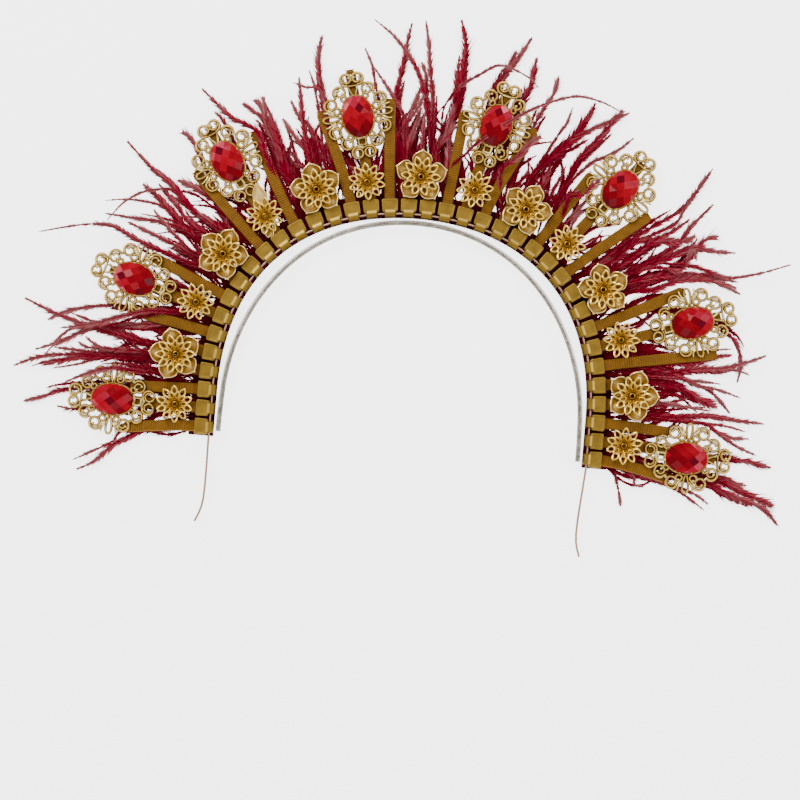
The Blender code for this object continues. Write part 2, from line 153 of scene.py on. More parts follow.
print("ends of the row of ties:", [round(value / MM, 1) for value in tie_place(0)[0]], "mm")

# %% [markdown]
# ## Where the ornaments sit
# The headband is put together by hand, so its eight ornaments and fifteen flowers lean a little, each in
# its own way. A table with a row for each keeps that hand-made look, which a perfect array would lose. A
# row gives millimetres across and out from the tie, degrees of spin, and where its three straps end.


# %% Tables of the ornaments and the flowers
def table(columns, *rows):
    """Rows of numbers, read by the names of their columns."""
    row = namedtuple("Row", columns)
    return [row(*values) for values in rows]


def places(rows, first_tie):
    """Where the rows of a table sit, one to each group of ties."""
    made = []
    for number, row in enumerate(rows):
        place = tie_place(number * GROUP_STEP + first_tie)
        made.append((point_at(place, row.across * MM, row.out * MM), place[1] + radians(row.spin)))
    return made


ORNAMENTS = table(
    "across out spin left middle right",
    (0.4, 42.3, -1.2, (-11.6, -5.0), (0.0, 11.6), (6.5, -7.0)),
    (0.6, 43.7, 0.3, (-13.3, -2.0), (0.0, 11.6), (12.0, -2.0)),
    (0.8, 43.6, -5.7, (-14.2, 3.4), (0.0, 16.6), (16.3, 6.0)),
    (-1.8, 42.4, 4.4, (-15.5, 5.2), (0.0, 20.6), (15.1, 5.2)),
    (2.9, 43.8, -4.4, (-14.6, 1.7), (0.0, 17.0), (16.3, 4.3)),
    (-0.3, 47.1, 4.2, (-13.3, -2.2), (0.0, 15.0), (16.8, 0.0)),
    (-1.2, 47.0, 0.7, (-14.2, 0.0), (0.0, 12.5), (15.5, 7.3)),
    (3.9, 42.5, 0.1, (-10.3, -7.7), (0.0, 12.5), (9.5, -6.9)),
)
SMALL_FLOWERS = table(
    "across out spin",
    (0.6, 15.6, -13.0),
    (1.4, 15.7, 18.0),
    (0.3, 15.4, 0.0),
    (-0.7, 14.2, 0.0),
    (1.5, 14.9, 0.0),
    (0.2, 14.6, 14.0),
    (-0.6, 15.6, -15.0),
    (1.0, 15.5, 17.0),
)
LARGE_FLOWERS = table(
    "across out spin nested_turn",
    (0.6, 17.6, 4.0, 6),
    (0.9, 16.1, -4.6, 0),
    (0.7, 15.6, -3.9, -7),
    (0.1, 16.2, 0.0, 18),
    (1.6, 15.6, -0.5, 18),
    (0.6, 15.6, 3.2, 16),
    (0.7, 17.6, -2.8, 0),
)
ORNAMENT_PLACES = places(ORNAMENTS, 1)
SMALL_FLOWER_PLACES = places(SMALL_FLOWERS, 1)
LARGE_FLOWER_PLACES = places(LARGE_FLOWERS, TIES_IN_GROUP + 0.5)
print("ornaments:", len(ORNAMENTS), "flowers:", len(SMALL_FLOWERS) + len(LARGE_FLOWERS))

# %% [markdown]
# ## Points and faces
# Nearly everything here is a run of cross-sections with skin between them: wire, strap, neck, ribbon. So
# one small class gathers points and faces and knows how to skin sections. A round wire, a plate between
# two grids and a small ball are then a few lines each.


# %% Gather points and faces
class Shape:
    """Points and faces on their way to becoming one mesh."""

    def __init__(self):
        self.points, self.faces = [], []

    def add(self, points, faces):
        start = len(self.points)
        self.points += points
        self.faces += [[start + corner for corner in face] for face in faces]
        return self

    def skin(self, sections, closed=False):
        """A body through rings of equal length: a closed loop, or one with both ends filled."""
        sides, last = len(sections[0]), len(sections) - 1
        faces = []
        for here in range(last + closed):
            low, high = here * sides, (here + 1) % len(sections) * sides
            for side in range(sides):
                after = (side + 1) % sides
                faces.append((low + side, low + after, high + after, high + side))
        if not closed:
            faces += [range(sides), range(last * sides, (last + 1) * sides)]
        return self.add([point for section in sections for point in section], faces)

    def tube(self, path, radius, sides=6, closed=False):
        """A round wire along a path that never runs straight up; radius is a size or a list of sizes."""
        sections = []
        for number, point in enumerate(path):
            way = path[(number + 1) % len(path)] - path[number - 1] if closed else run_of(path, number)
            across = way.normalized().cross(UP).normalized()
            over = across.cross(way.normalized())
            size = radius[number] if isinstance(radius, list) else radius
            sections.append([point + (across * cos(t) + over * sin(t)) * size for t in around(sides, 0.5)])
        return self.skin(sections, closed)

    def slab(self, over, under, width):
        """A plate between two grids with rows of one width; gives the numbers of the points on its rim."""
        count, rows = len(over), len(over) // width
        faces = []
        for corner in range(count - width):
            if (corner + 1) % width:
                face = (corner, corner + 1, corner + width + 1, corner + width)
                faces += [face, [count + point for point in reversed(face)]]
        rim = list(range(width)) + [row * width + width - 1 for row in range(1, rows)]
        rim += [count - 2 - n for n in range(width - 1)] + [row * width for row in range(rows - 2, 0, -1)]
        faces += [(a, b, count + b, count + a) for a, b in zip(rim, rim[1:] + rim[:1])]
        self.add(over + under, faces)
        return rim

    def bead(self, centre, radius, flatness=1.0):
        """A small ball."""
        ball = bmesh.new()
        bmesh.ops.create_icosphere(ball, subdivisions=1, radius=radius)
        points = [centre + Vector((v.co.x, v.co.y, v.co.z * flatness)) for v in ball.verts]
        self.add(points, [[vertex.index for vertex in face.verts] for face in ball.faces])
        ball.free()

    def placed(self, place):
        """A copy, turned and moved to a place."""
        return Shape().add([setting(place) @ point for point in self.points], self.faces)


print("shapes ready")

# %% [markdown]
# ## From a shape to a piece
# A shape becomes a mesh whose faces are turned outwards at the end, where every part of it is closed. A
# crease angle keeps a box's edges sharp and a wire round, without more faces. A piece then rides on the
# headband's body and may stand for one of its solids.


# %% Turn shapes into pieces
def mesh_of(shape, crease=None, finish=None):
    """The shape's mesh with its faces turned outwards: flat, or smooth with a crease angle in degrees."""
    data = bpy.data.meshes.new("part")
    data.from_pydata([tuple(point) for point in shape.points], [], shape.faces)
    solid = bmesh.new()
    solid.from_mesh(data)
    bmesh.ops.recalc_face_normals(solid, faces=solid.faces)
    solid.to_mesh(data)
    solid.free()
    if crease is not None:
        data.shade_smooth()
        data.set_sharp_from_angle(angle=radians(crease))
    if finish:
        data.materials.append(finish)
    return data


def store(data, title, values, domain="POINT"):
    """Keeps a number for every point or face of a mesh, for a finish or a node tree to read."""
    data.attributes.new(title, "FLOAT", domain).data.foreach_set("value", values)
    return data


def show(name, data):
    """A new object in the scene."""
    made = bpy.data.objects.new(name, data)
    bpy.context.scene.collection.objects.link(made)
    return made


def add_piece(name, data, finish, slot, *replaced):
    """Shows a mesh as a piece of the headband."""
    made = show(name, data)
    data.name = name
    if not data.materials:
        data.materials.append(finish)
    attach(made, "root")
    if replaced:
        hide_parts(*replaced)
    return made


print("pieces ready")

# %% [markdown]
# ## Node trees written as Python
# Materials and Geometry Nodes are trees of the same kind, so one small class builds both. Each node comes
# from one method: its settings first, then the values or links of its sockets. Its outputs are wrapped,
# so that sums of numbers can be written as plain expressions, and each operator adds a Math node.


# %% A wrapper for sockets and a maker of nodes
class Reading:
    """A number that varies, as a node's output."""

    def __init__(self, graph, socket):
        self.graph, self.socket = graph, socket

    def worked(self, operation, first, second):
        return self.graph.node("ShaderNodeMath", {0: first, 1: second}, operation=operation)

    def __add__(self, other):
        return self.worked("ADD", self, other)

    def __sub__(self, other):
        return self.worked("SUBTRACT", self, other)

    def __rsub__(self, other):
        return self.worked("SUBTRACT", other, self)

    def __mul__(self, other):
        return self.worked("MULTIPLY", self, other)

    def __truediv__(self, other):
        return self.worked("DIVIDE", self, other)

    __radd__, __rmul__ = __add__, __mul__


class Graph:
    """A node tree under construction."""

    def __init__(self, tree):
        self.tree = tree

    def node(self, kind, values=None, output=0, **settings):
        made = self.tree.nodes.new(kind)
        for name, value in settings.items():
            if name == "stops":
                self.set_stops(made.color_ramp, value)
            else:
                setattr(made, name, value)
        for name, value in (values or {}).items():
            self.feed(made.inputs[name], value)
        return Reading(self, made.outputs[output])

    def feed(self, socket, value):
        if isinstance(value, Reading):
            self.tree.links.new(value.socket, socket)
        else:
            socket.default_value = value

    def vector(self, operation, first, second):
        return self.node("ShaderNodeVectorMath", {0: first, 1: second}, operation=operation)

    def set_stops(self, ramp, stops):
        while len(ramp.elements) < len(stops):
            ramp.elements.new(0.5)
        for element, (position, colour) in zip(ramp.elements, stops):
            element.position, element.color = position, (*colour, 1.0)


print("node tools ready")

# %% [markdown]
# ## Kinds of finish
# A finish starts as a Principled shader with fixed values for what is the same all over. Colour, roughness
# and bump then vary with noise in object coordinates, at the scale of the real grain: a moulded tie is
# mottled over a few millimetres, and its skin is uneven over tenths of them. Some colours also hold painted
# light, read from a surface's slope or from a number stored on it: painted shade and painted highlights.


# %% Write the kinds of finish
class Finish(Graph):
    """A material: fixed values on its Principled shader, and a method for each kind of pattern."""

    def __init__(self, name, **fixed):
        self.material = bpy.data.materials.new(name)
        self.material.use_nodes = True
        super().__init__(self.material.node_tree)
        self.shader = self.tree.nodes["Principled BSDF"]
        self.spot = self.node("ShaderNodeTexCoord", output="Object")
        for title, value in fixed.items():
            self.set(title.replace("_", " "), value)

    def set(self, title, value):
        self.feed(self.shader.inputs[title], value)

    def noise(self, scale, detail=2.0):
        return self.node("ShaderNodeTexNoise", {"Vector": self.spot, "Scale": scale, "Detail": detail})

    def ramp(self, factor, *stops):
        return self.node("ShaderNodeValToRGB", {"Fac": factor}, stops=stops)

    def stored(self, title):
        return self.node("ShaderNodeAttribute", output="Fac", attribute_name=title)

    def facing_up(self, low, high):
        """0 on steep sides to 1 on what faces up, by the surface's own slope."""
        slope = self.node("ShaderNodeNewGeometry", output="Normal")
        rise = self.node("ShaderNodeSeparateXYZ", {"Vector": slope}, "Z")
        limits = {"Value": rise, "From Min": low, "From Max": high}
        return self.node("ShaderNodeMapRange", limits, interpolation_type="SMOOTHSTEP")

    def bump(self, height, distance, strength):
        values = {"Height": height, "Distance": distance, "Strength": strength}
        self.set("Normal", self.node("ShaderNodeBump", values))


def gold_plastic(name, dark, light, rounded, gloss):
    """The pearly gold of a painted nylon tie: mottled, with a painted light tone where it is rounded off."""
    finish = Finish(name, Metallic=0.6)
    mottled = finish.ramp(finish.noise(260.0, 3.0), (0.3, dark), (0.7, light))
    none, all_of_it = (0.0, 0.0, 0.0), (1.0, 1.0, 1.0)
    # Where the surface is rounded off, the mottle gives way to a painted tone: a bright painted highlight on
    # the heads, near their own tones on the straps and ribs.
    share = finish.ramp(finish.facing_up(0.0, 1.0), (0.3, none), (0.8, all_of_it), (0.98, none))
    tones = {"Factor": share, 6: mottled, 7: (*rounded, 1.0)}
    finish.set("Base Color", finish.node("ShaderNodeMix", tones, 2, data_type="RGBA"))
    finish.set("Roughness", gloss + 0.12 * finish.noise(900.0))
    finish.bump(finish.noise(2600.0, 3.0), 0.00003, 0.5)
    return finish.material


def cast_gold(name, deep, middle, light, gloss, stored_painted_light=False):
    """Plated metal: painted shade on its steep sides, and painted highlight and shade from a stored "rim"
    value.
    """
    finish = Finish(name, Metallic=0.75)
    # Painted shade: the colour darkens on steep sides, and a stored "rim" adds painted highlight and shade
    # where it is given.
    bright = finish.facing_up(0.45, 1.0)
    if stored_painted_light:
        bright = finish.stored("rim") * (0.45 + 0.55 * bright)
    painted_light_and_mottle = bright + finish.noise(420.0, 3.0) * 0.24 - 0.12
    finish.set("Base Color", finish.ramp(painted_light_and_mottle, (0.0, deep), (0.5, middle), (0.95, light)))
    finish.set("Roughness", gloss + 0.14 * finish.noise(1500.0))
    finish.bump(finish.noise(3200.0, 3.0), 0.00002, 0.6)
    return finish.material


def shaded(name, title, grain, mottle, stops, **fixed):
    """A finish whose colour follows a stored number, with a little mottle."""
    finish = Finish(name, **fixed)
    tone = finish.stored(title) + finish.noise(grain) * mottle - mottle / 2
    finish.set("Base Color", finish.ramp(tone, *stops))
    return finish.material


def ribbon_cloth():
    """A dark tape, woven across its width."""
    finish = Finish("dark_ribbon", Roughness=0.9, Specular_IOR_Level=0.05)
    thread = finish.noise(700.0)
    finish.set("Base Color", finish.ramp(thread, (0.3, (0.05, 0.0, 0.003)), (0.7, (0.095, 0.001, 0.008))))
    weave = finish.node("ShaderNodeTexVoronoi", {"Vector": finish.spot, "Scale": 2200.0})
    finish.bump(weave, 0.00008, 0.8)
    return finish.material


def clear_film():
    """Clear sheet plastic, a little hazy where it was handled."""
    finish = Finish("clear_plastic", IOR=1.45, Transmission_Weight=0.5)
    haze = finish.noise(240.0)
    finish.set("Base Color", finish.ramp(haze, (0.35, (0.33, 0.29, 0.23)), (0.65, (0.6, 0.56, 0.48))))
    finish.set("Roughness", 0.12 + 0.2 * haze)
    finish.bump(finish.noise(500.0), 0.00004, 0.3)
    return finish.material


print("kinds of finish ready")

# %% [markdown]
# ## The tones of this headband
# The ties are pearly olive gold, browner on their straps, and the plated metal is brighter and yellower.
# Each tone is mixed once, from its darkest to its lightest, and shared by all pieces that show it. In the
# cast finishes of the metal and the necks, the darkest is painted shade and the lightest a painted
# highlight, and the heads' tone where they are rounded off is a painted highlight. The stones' facets and
# the flues store a number of their own, and a ramp turns it into a colour: painted reflections on the
# facets, and on the flues painted light that shows through thin ones.

# %% Mix the tones
TIE_GOLD = gold_plastic("tie_head_gold", (0.22, 0.124, 0.008), (0.33, 0.188, 0.013), (0.74, 0.48, 0.1), 0.4)
STRAP_GOLD = gold_plastic(
    "tie_strap_gold", (0.17, 0.07, 0.002), (0.25, 0.106, 0.004), (0.27, 0.12, 0.006), 0.5
)
RIB_GOLD = gold_plastic("tie_rib_gold", (0.25, 0.11, 0.004), (0.34, 0.15, 0.005), (0.27, 0.118, 0.005), 0.45)
NECK_GOLD = cast_gold(
    "tie_neck_gold", (0.09, 0.045, 0.002), (0.27, 0.152, 0.012), (0.64, 0.42, 0.08), 0.4, True
)
FILIGREE_GOLD = cast_gold("filigree_gold", (0.05, 0.016, 0.001), (0.62, 0.33, 0.014), (1.0, 0.8, 0.3), 0.14)
ROSETTE_GOLD = cast_gold(
    "rosette_gold", (0.1, 0.035, 0.001), (0.52, 0.24, 0.007), (1.0, 0.69, 0.14), 0.24, True
)
PETAL_GOLD = cast_gold("petal_gold", (0.2, 0.08, 0.004), (0.95, 0.58, 0.1), (1.0, 0.78, 0.32), 0.32, True)
WIRE_GOLD = cast_gold("rose_gold_wire", (0.12, 0.06, 0.03), (0.34, 0.18, 0.11), (0.55, 0.34, 0.22), 0.35)
# From a painted dark reflection through the stone's red to a painted pink reflection.
RUBY_STOPS = (
    (0.0, (0.11, 0.0, 0.008)),
    (0.2, (0.12, 0.0, 0.004)),
    (0.45, (0.22, 0.0, 0.006)),
    (0.66, (0.38, 0.0, 0.01)),
    (0.82, (0.36, 0.012, 0.035)),
    (1.0, (0.8, 0.13, 0.16)),
)
RUBY = shaded("ruby_glass", "facet", 210.0, 0.36, RUBY_STOPS, Roughness=0.08, Specular_IOR_Level=0.1)
# From dark wine to pale rose: painted light, paler where light would show through a thin flue, darker where
# it would not pass a bundle.
FEATHER_STOPS = (
    (0.0, (0.125, 0.0, 0.007)),
    (0.25, (0.18, 0.0, 0.011)),
    (0.5, (0.28, 0.004, 0.024)),
    (0.75, (0.31, 0.055, 0.068)),
    (1.0, (0.37, 0.14, 0.14)),
)
FEATHER = shaded("maroon_feather", "shade", 160.0, 0.4, FEATHER_STOPS, Roughness=0.9, Specular_IOR_Level=0.0)
RIBBON = ribbon_cloth()
CLEAR = clear_film()
print("finishes:", [made.name for made in bpy.data.materials])

# %% [markdown]
# ## Camera, light and floor
# The photograph looks straight at the crown, and the crown leans almost five degrees to the right. Here
# the headband lies on its back, so the camera hangs over it, rolled by the same angle. A long lens keeps
# the arch's proportions. Large soft lamps under an even sky leave only faint shadows, and the floor glows,
# so that it comes out almost as white as the photograph's background.

# %% Set the studio
PHOTO_SCALE = 0.43 * MM
PHOTO_ROLL = radians(4.88)
PHOTO_SIZE = 800
PHOTO_CENTRE_X = 401.4
PHOTO_CENTRE_Y = 403.1
CAMERA_DISTANCE = 1.0
SENSOR = 36.0
FLOOR_GLOW = 3.3
FLOOR_REACH = 4.0
FLOOR_DROP = 0.2 * MM
SKY_BRIGHTNESS = 0.75
WHITE = (1.0, 1.0, 1.0, 1.0)


def photo_point(column, row, height=0.0):
    """The point of the arch's plane that a pixel of the photograph shows."""
    across = (column - PHOTO_CENTRE_X) * PHOTO_SCALE
    up = (PHOTO_CENTRE_Y - row) * PHOTO_SCALE
    return ARCH_CENTRE + (polar(across, PHOTO_ROLL) + polar(up, PHOTO_ROLL + QUARTER)) + UP * height


def add_camera():
    data = bpy.data.cameras.new("camera")
    data.sensor_width = SENSOR
    data.lens = SENSOR * CAMERA_DISTANCE / (PHOTO_SIZE * PHOTO_SCALE)
    camera = show("camera", data)
    camera.location = photo_point(PHOTO_SIZE / 2, PHOTO_SIZE / 2, WIRE_HEIGHT + CAMERA_DISTANCE)
    camera.rotation_euler.z = PHOTO_ROLL
    bpy.context.scene.camera = camera
    return data.lens


def add_lamp(name, azimuth, height, distance, size, power):
    """A square soft lamp that faces the arch's centre."""
    data = bpy.data.lights.new(name, "AREA")
    data.size, data.energy = size, power
    lamp = show(name, data)
    lamp.location = ARCH_CENTRE + polar(distance, radians(azimuth), height)
    lamp.rotation_euler = (ARCH_CENTRE - lamp.location).to_track_quat("-Z", "Y").to_euler()


def add_floor():
    corners = [Vector((x, y, 0)) * FLOOR_REACH for x, y in ((-1, -1), (1, -1), (1, 1), (-1, 1))]
    floor = Shape().add([corner - UP * FLOOR_DROP for corner in corners], [(0, 1, 2, 3)])
    finish = Finish("pale_floor", Roughness=0.9, Emission_Color=WHITE, Emission_Strength=FLOOR_GLOW)
    patches = finish.ramp(finish.noise(3.0), (0.3, (0.9, 0.9, 0.895)), (0.7, (0.93, 0.93, 0.93)))
    finish.set("Base Color", patches)
    show("floor", mesh_of(floor, finish=finish.material))


def set_sky():
    world = bpy.data.worlds.new("studio")
    world.use_nodes = True
    bpy.context.scene.world = world
    sky = world.node_tree.nodes["Background"]
    sky.inputs["Color"].default_value = WHITE
    sky.inputs["Strength"].default_value = SKY_BRIGHTNESS


print("lens:", round(add_camera(), 1), "mm")
add_lamp("key_lamp", 125, 1.1, 0.9, 0.55, 11.0)
add_lamp("fill_lamp", 20, 1.0, 1.1, 0.7, 6.0)
add_lamp("low_lamp", 260, 0.9, 1.2, 0.9, 4.0)
set_sky()
add_floor()

# %% [markdown]
# ## The wire hoop
# One rose-gold wire runs through all the ties, and its ends hang down as two tails with bent tips. It is a
# round tube swept along the hoop, with the tails' bends rounded by a smooth curve through a few points.
# A curve object with a bevel would do as well; the sweep keeps all pieces of one kind.


# %% Sweep the wire
def smooth_path(points, steps):
    """A smooth run through points, with a number of steps between each two."""
    path = []
    last = len(points) - 1
    for number in range(last):
        before, start = points[max(number - 1, 0)], points[number]
        end, after = points[number + 1], points[min(number + 2, last)]
        for step in range(steps):
            t = step / steps
            curved = start * 2 + (end - before) * t + (before * 2 - start * 5 + end * 4 - after) * t * t
            path.append((curved + (start * 3 - before - end * 3 + after) * t * t * t) / 2)
    return path + [points[last]]


TAILS = table("tip knee", ((-84.4, -58.1), (-81.4, -47.9)), ((81.7, -59.4), (79.6, -49.3)))
WIRE_END = LAST_TIE + STRAP_WIDTH
WIRE_STEPS = 96


def wire_shape():
    """The wire from its left tip over the hoop to its right tip."""
    hoop = [hoop_place(distance)[0] + UP * WIRE_HEIGHT for distance in spread(WIRE_END, WIRE_STEPS)]
    left, right = [[ARCH_CENTRE + Vector((x * MM, y * MM, WIRE_HEIGHT)) for x, y in tail] for tail in TAILS]
    return Shape().tube(smooth_path(left + hoop + right[::-1], 4), WIRE_DIAMETER / 2, 8)


add_piece("gold_wire", mesh_of(wire_shape(), 60), WIRE_GOLD, "wire_metal", "wire_hoop")
print("wire:", WIRE_STEPS, "steps")

# %% [markdown]
# ## The clear strip
# A band of clear plastic inside the arch keeps the ties off the head. It meets them at its ends and at the
# top and bows away in between, and small drops of glue hold it. It is a thin band on edge that leans
# inwards, so a little of its side shows from the front, with long edges rounded to catch the light.

# %% Bend the clear strip
STRIP_WIDTH = 7.0 * MM
STRIP_THICKNESS = 0.8 * MM
STRIP_STEPS = 90
STRIP_SAG = 3.6 * MM
STRIP_LEAN = 2.1 * MM
STRIP_END = LAST_TIE + 1.5 * MM
STRIP_CLEARANCE = LOOP_RADIUS + LOOP_THICKNESS / 2 + GAP + STRIP_THICKNESS / 2
GLUE_SPOTS = (-147.5, -144.0, -139.5, 143.5, 147.0)
GLUE_SIZE = 0.9 * MM


def strip_point(distance, across, height):
    sag = STRIP_SAG * sin(pi * distance / STRIP_END) ** 2
    inwards = STRIP_CLEARANCE + sag + STRIP_LEAN * height / STRIP_WIDTH
    return point_at(hoop_place(distance), 0, across - inwards, height)


def strip_shape():
    half, edge = STRIP_THICKNESS / 2, STRIP_THICKNESS / 4
    outline = ((half, edge), (half, STRIP_WIDTH - edge), (edge, STRIP_WIDTH), (-edge, STRIP_WIDTH))
    outline += ((-half, STRIP_WIDTH - edge), (-half, edge), (-edge, 0), (edge, 0))
    return Shape().skin([[strip_point(d, x, z) for x, z in outline] for d in spread(STRIP_END, STRIP_STEPS)])


glue = Shape()
for distance in GLUE_SPOTS:
    glue.bead(strip_point(distance * MM, STRIP_THICKNESS / 2, WIRE_HEIGHT), GLUE_SIZE, 0.7)
add_piece("clear_band", mesh_of(strip_shape(), 40), CLEAR, "clear_plastic", "clear_strip")
add_piece("glue_drops", mesh_of(glue, 60), CLEAR, "clear_plastic")
print("strip:", round(2 * STRIP_END / MM), "mm long")

# %% [markdown]
# ## The ribbon
# The fringe is sewn to a dark ribbon that lies behind the ties' heads and shows between them. It is cloth
# pulled tight round the arch, so it is a flat band with slightly wavy edges.

# %% Lay the ribbon
RIBBON_THICKNESS = 0.9 * MM
RIBBON_INSIDE = 1.6 * MM
RIBBON_OUTSIDE = 9.2 * MM
RIBBON_OVERRUN = 4.0 * MM
RIBBON_STEPS = 220
RIBBON_WAVES = 1.9
RIBBON_WAVE = 0.15 * MM


def ribbon_sections():
    inside, top = -RIBBON_INSIDE, RIBBON_THICKNESS
    sections = []
    for step, distance in enumerate(spread(LAST_TIE + RIBBON_OVERRUN, RIBBON_STEPS)):
        edge = RIBBON_OUTSIDE + RIBBON_WAVE * sin(RIBBON_WAVES * step)
        corners = ((inside, 0), (edge, 0), (edge, top), (inside, top))
        sections.append([point_at(hoop_place(distance), 0, out, height) for out, height in corners])
    return sections


sections = ribbon_sections()
middle = [(section[0] + section[1]) / 2 for section in sections]
ribbon_length = sum((after - before).length for before, after in zip(middle, middle[1:]))
ribbon_mesh = mesh_of(Shape().skin(sections), 40)
ribbon_piece = add_piece("fringe_ribbon", ribbon_mesh, RIBBON, "maroon_feather", "feather_fringe")
print("ribbon:", round(ribbon_length / MM, 1), "mm long")

# %% [markdown]
# ## Repeating with Geometry Nodes
# Ribs on a strap, petals round a flower and barbs along a feather all repeat one small shape. Geometry
# Nodes do that: points on a line or a circle, one instance on each, then Realize Instances and Set
# Material, because instances alone would be lost on export. Each tree is built here, its named inputs
# are set by their identifiers, and the evaluated result becomes a plain mesh.


# %% Build, run and bake a tree
class Repeater(Graph):
    """A Geometry Nodes tree with named inputs, which is run on one mesh at a time."""

    def __init__(self, name, **inputs):
        super().__init__(bpy.data.node_groups.new(name, "GeometryNodeTree"))
        face = self.tree.interface
        face.new_socket(name="Geometry", in_out="OUTPUT", socket_type="NodeSocketGeometry")
        face.new_socket(name="Geometry", in_out="INPUT", socket_type="NodeSocketGeometry")
        self.keys = {}
        for title, kind in inputs.items():
            socket = face.new_socket(name=title, in_out="INPUT", socket_type=f"NodeSocket{kind}")
            self.keys[title] = socket.identifier
        self.entry = self.tree.nodes.new("NodeGroupInput")

    def given(self, title):
        return Reading(self, self.entry.outputs[title])

    def spaced(self):
        """The given edges as a curve, the points along it, one every pitch, and the way it runs there."""
        line = self.node("GeometryNodeMeshToCurve", {"Mesh": self.given("Geometry")})
        values = {"Curve": line, "Length": self.given("pitch")}
        points = self.node("GeometryNodeCurveToPoints", values, mode="LENGTH")
        return line, points, Reading(self, points.socket.node.outputs["Tangent"])

    def copies(self, points, shape, rotation, scale=(1.0, 1.0, 1.0)):
        """The shape on every point; it may be the name of an object that the tree is given."""
        if isinstance(shape, str):
            shape = self.node("GeometryNodeObjectInfo", {"Object": self.given(shape)}, "Geometry")
        values = {"Points": points, "Instance": shape, "Rotation": rotation, "Scale": scale}
        return self.node("GeometryNodeInstanceOnPoints", values)

    def ends_in(self, *parts):
        """Closes the tree: its parts joined and realized, with the finish that it is given."""
        joined = self.tree.nodes.new("GeometryNodeJoinGeometry")
        for part in reversed(parts):
            self.tree.links.new(part.socket, joined.inputs[0])
        real = self.node("GeometryNodeRealizeInstances", {"Geometry": Reading(self, joined.outputs[0])})
        finished = self.node("GeometryNodeSetMaterial", {"Geometry": real, "Material": self.given("finish")})
        self.tree.links.new(finished.socket, self.tree.nodes.new("NodeGroupOutput").inputs[0])
        return self

    def run(self, data, **values):
        """The plain mesh that the tree makes of a mesh and its inputs."""
        carrier = show("carrier", data)
        modifier = carrier.modifiers.new("repeat", "NODES")
        modifier.node_group = self.tree
        for title, value in values.items():
            modifier[self.keys[title]] = value
        return baked(carrier)


def baked(carrier):
    """What an object's modifiers make of it, as a plain mesh; the object is done with."""
    graph = bpy.context.evaluated_depsgraph_get()
    made = bpy.data.meshes.new_from_object(carrier.evaluated_get(graph))
    bpy.data.objects.remove(carrier)
    return made


def edge_mesh(paths):
    """Runs of edges through points, as one mesh."""
    points, edges = [], []
    for path in paths:
        edges += [(len(points) + n, len(points) + n + 1) for n in range(len(path) - 1)]
        points += [tuple(point) for point in path]
    data = bpy.data.meshes.new("lines")
    data.from_pydata(points, edges, [])
    return data


def merged(*meshes):
    """Several meshes as one, each keeping its own finish."""
    parts = [show("part", data) for data in meshes]
    with bpy.context.temp_override(active_object=parts[0], selected_editable_objects=parts):
        bpy.ops.object.join()
    data = parts[0].data
    bpy.data.objects.remove(parts[0])
    return data


print("repeater ready")

# %% [markdown]
# ## Heads and necks of the ties
# Each spoke is a real cable tie: its neck goes round the wire and into the head, and the ribbed strap
# sticks out behind it. The head is a box with rounded edges and a sunk face, drawn as a stack of rounded
# outlines. The neck is a band swept over the head's edge and round the wire.

# %% Model the head and the neck of a tie
HEAD_ROUNDING = 0.7 * MM
CORNER_STEPS = 4
HEAD_TAPER = 0.94
NECK_STEPS = 14
LOOP_SUNK = 1.4 * MM
BEND_START = 1.0 * MM
BEND_RISE = 0.3 * MM
NECK_START = radians(80)
NECK_INSIDE = radians(135)
HEAD_RINGS = table(
    "inset drop",
    (0.0, 5.6),
    (0.0, 0.35),
    (0.08, 0.12),
    (0.2, 0.03),
    (0.35, 0.0),
    (0.65, 0.0),
    (0.85, 0.1),
    (1.2, 0.1),
)


def band_section(point, across, through, width, thickness):
    """A flat band's section: a rectangle with its corners cut, as eight points."""
    cut = min(width, thickness) / 4
    half, deep = width / 2, thickness / 2
    outline = ((half, deep - cut), (half - cut, deep), (cut - half, deep), (-half, deep - cut))
    outline += ((-half, cut - deep), (cut - half, -deep), (half - cut, -deep), (half, cut - deep))
    return [point + across * x + through * z for x, z in outline]


def head_outline(ring):
    """The head's rounded outline, drawn in a little: it narrows towards the wire."""
    points = []
    for corner, (right, top) in enumerate(((1, 1), (-1, 1), (-1, -1), (1, -1))):
        for step in range(CORNER_STEPS + 1):
            turn = QUARTER * (corner + step / CORNER_STEPS)
            x = right * (HEAD_WIDTH / 2 - ring.inset * MM - HEAD_ROUNDING) + HEAD_ROUNDING * cos(turn)
            y = top * (HEAD_HEIGHT / 2 - ring.inset * MM - HEAD_ROUNDING) + HEAD_ROUNDING * sin(turn)
            narrow = HEAD_TAPER + (1 - HEAD_TAPER) * (y / HEAD_HEIGHT + 0.5)
            height = HEAD_BACK + HEAD_DEPTH - ring.drop * MM
            points.append(Vector((x * narrow, HEAD_BASE + HEAD_HEIGHT / 2 + y, height)))
    return points


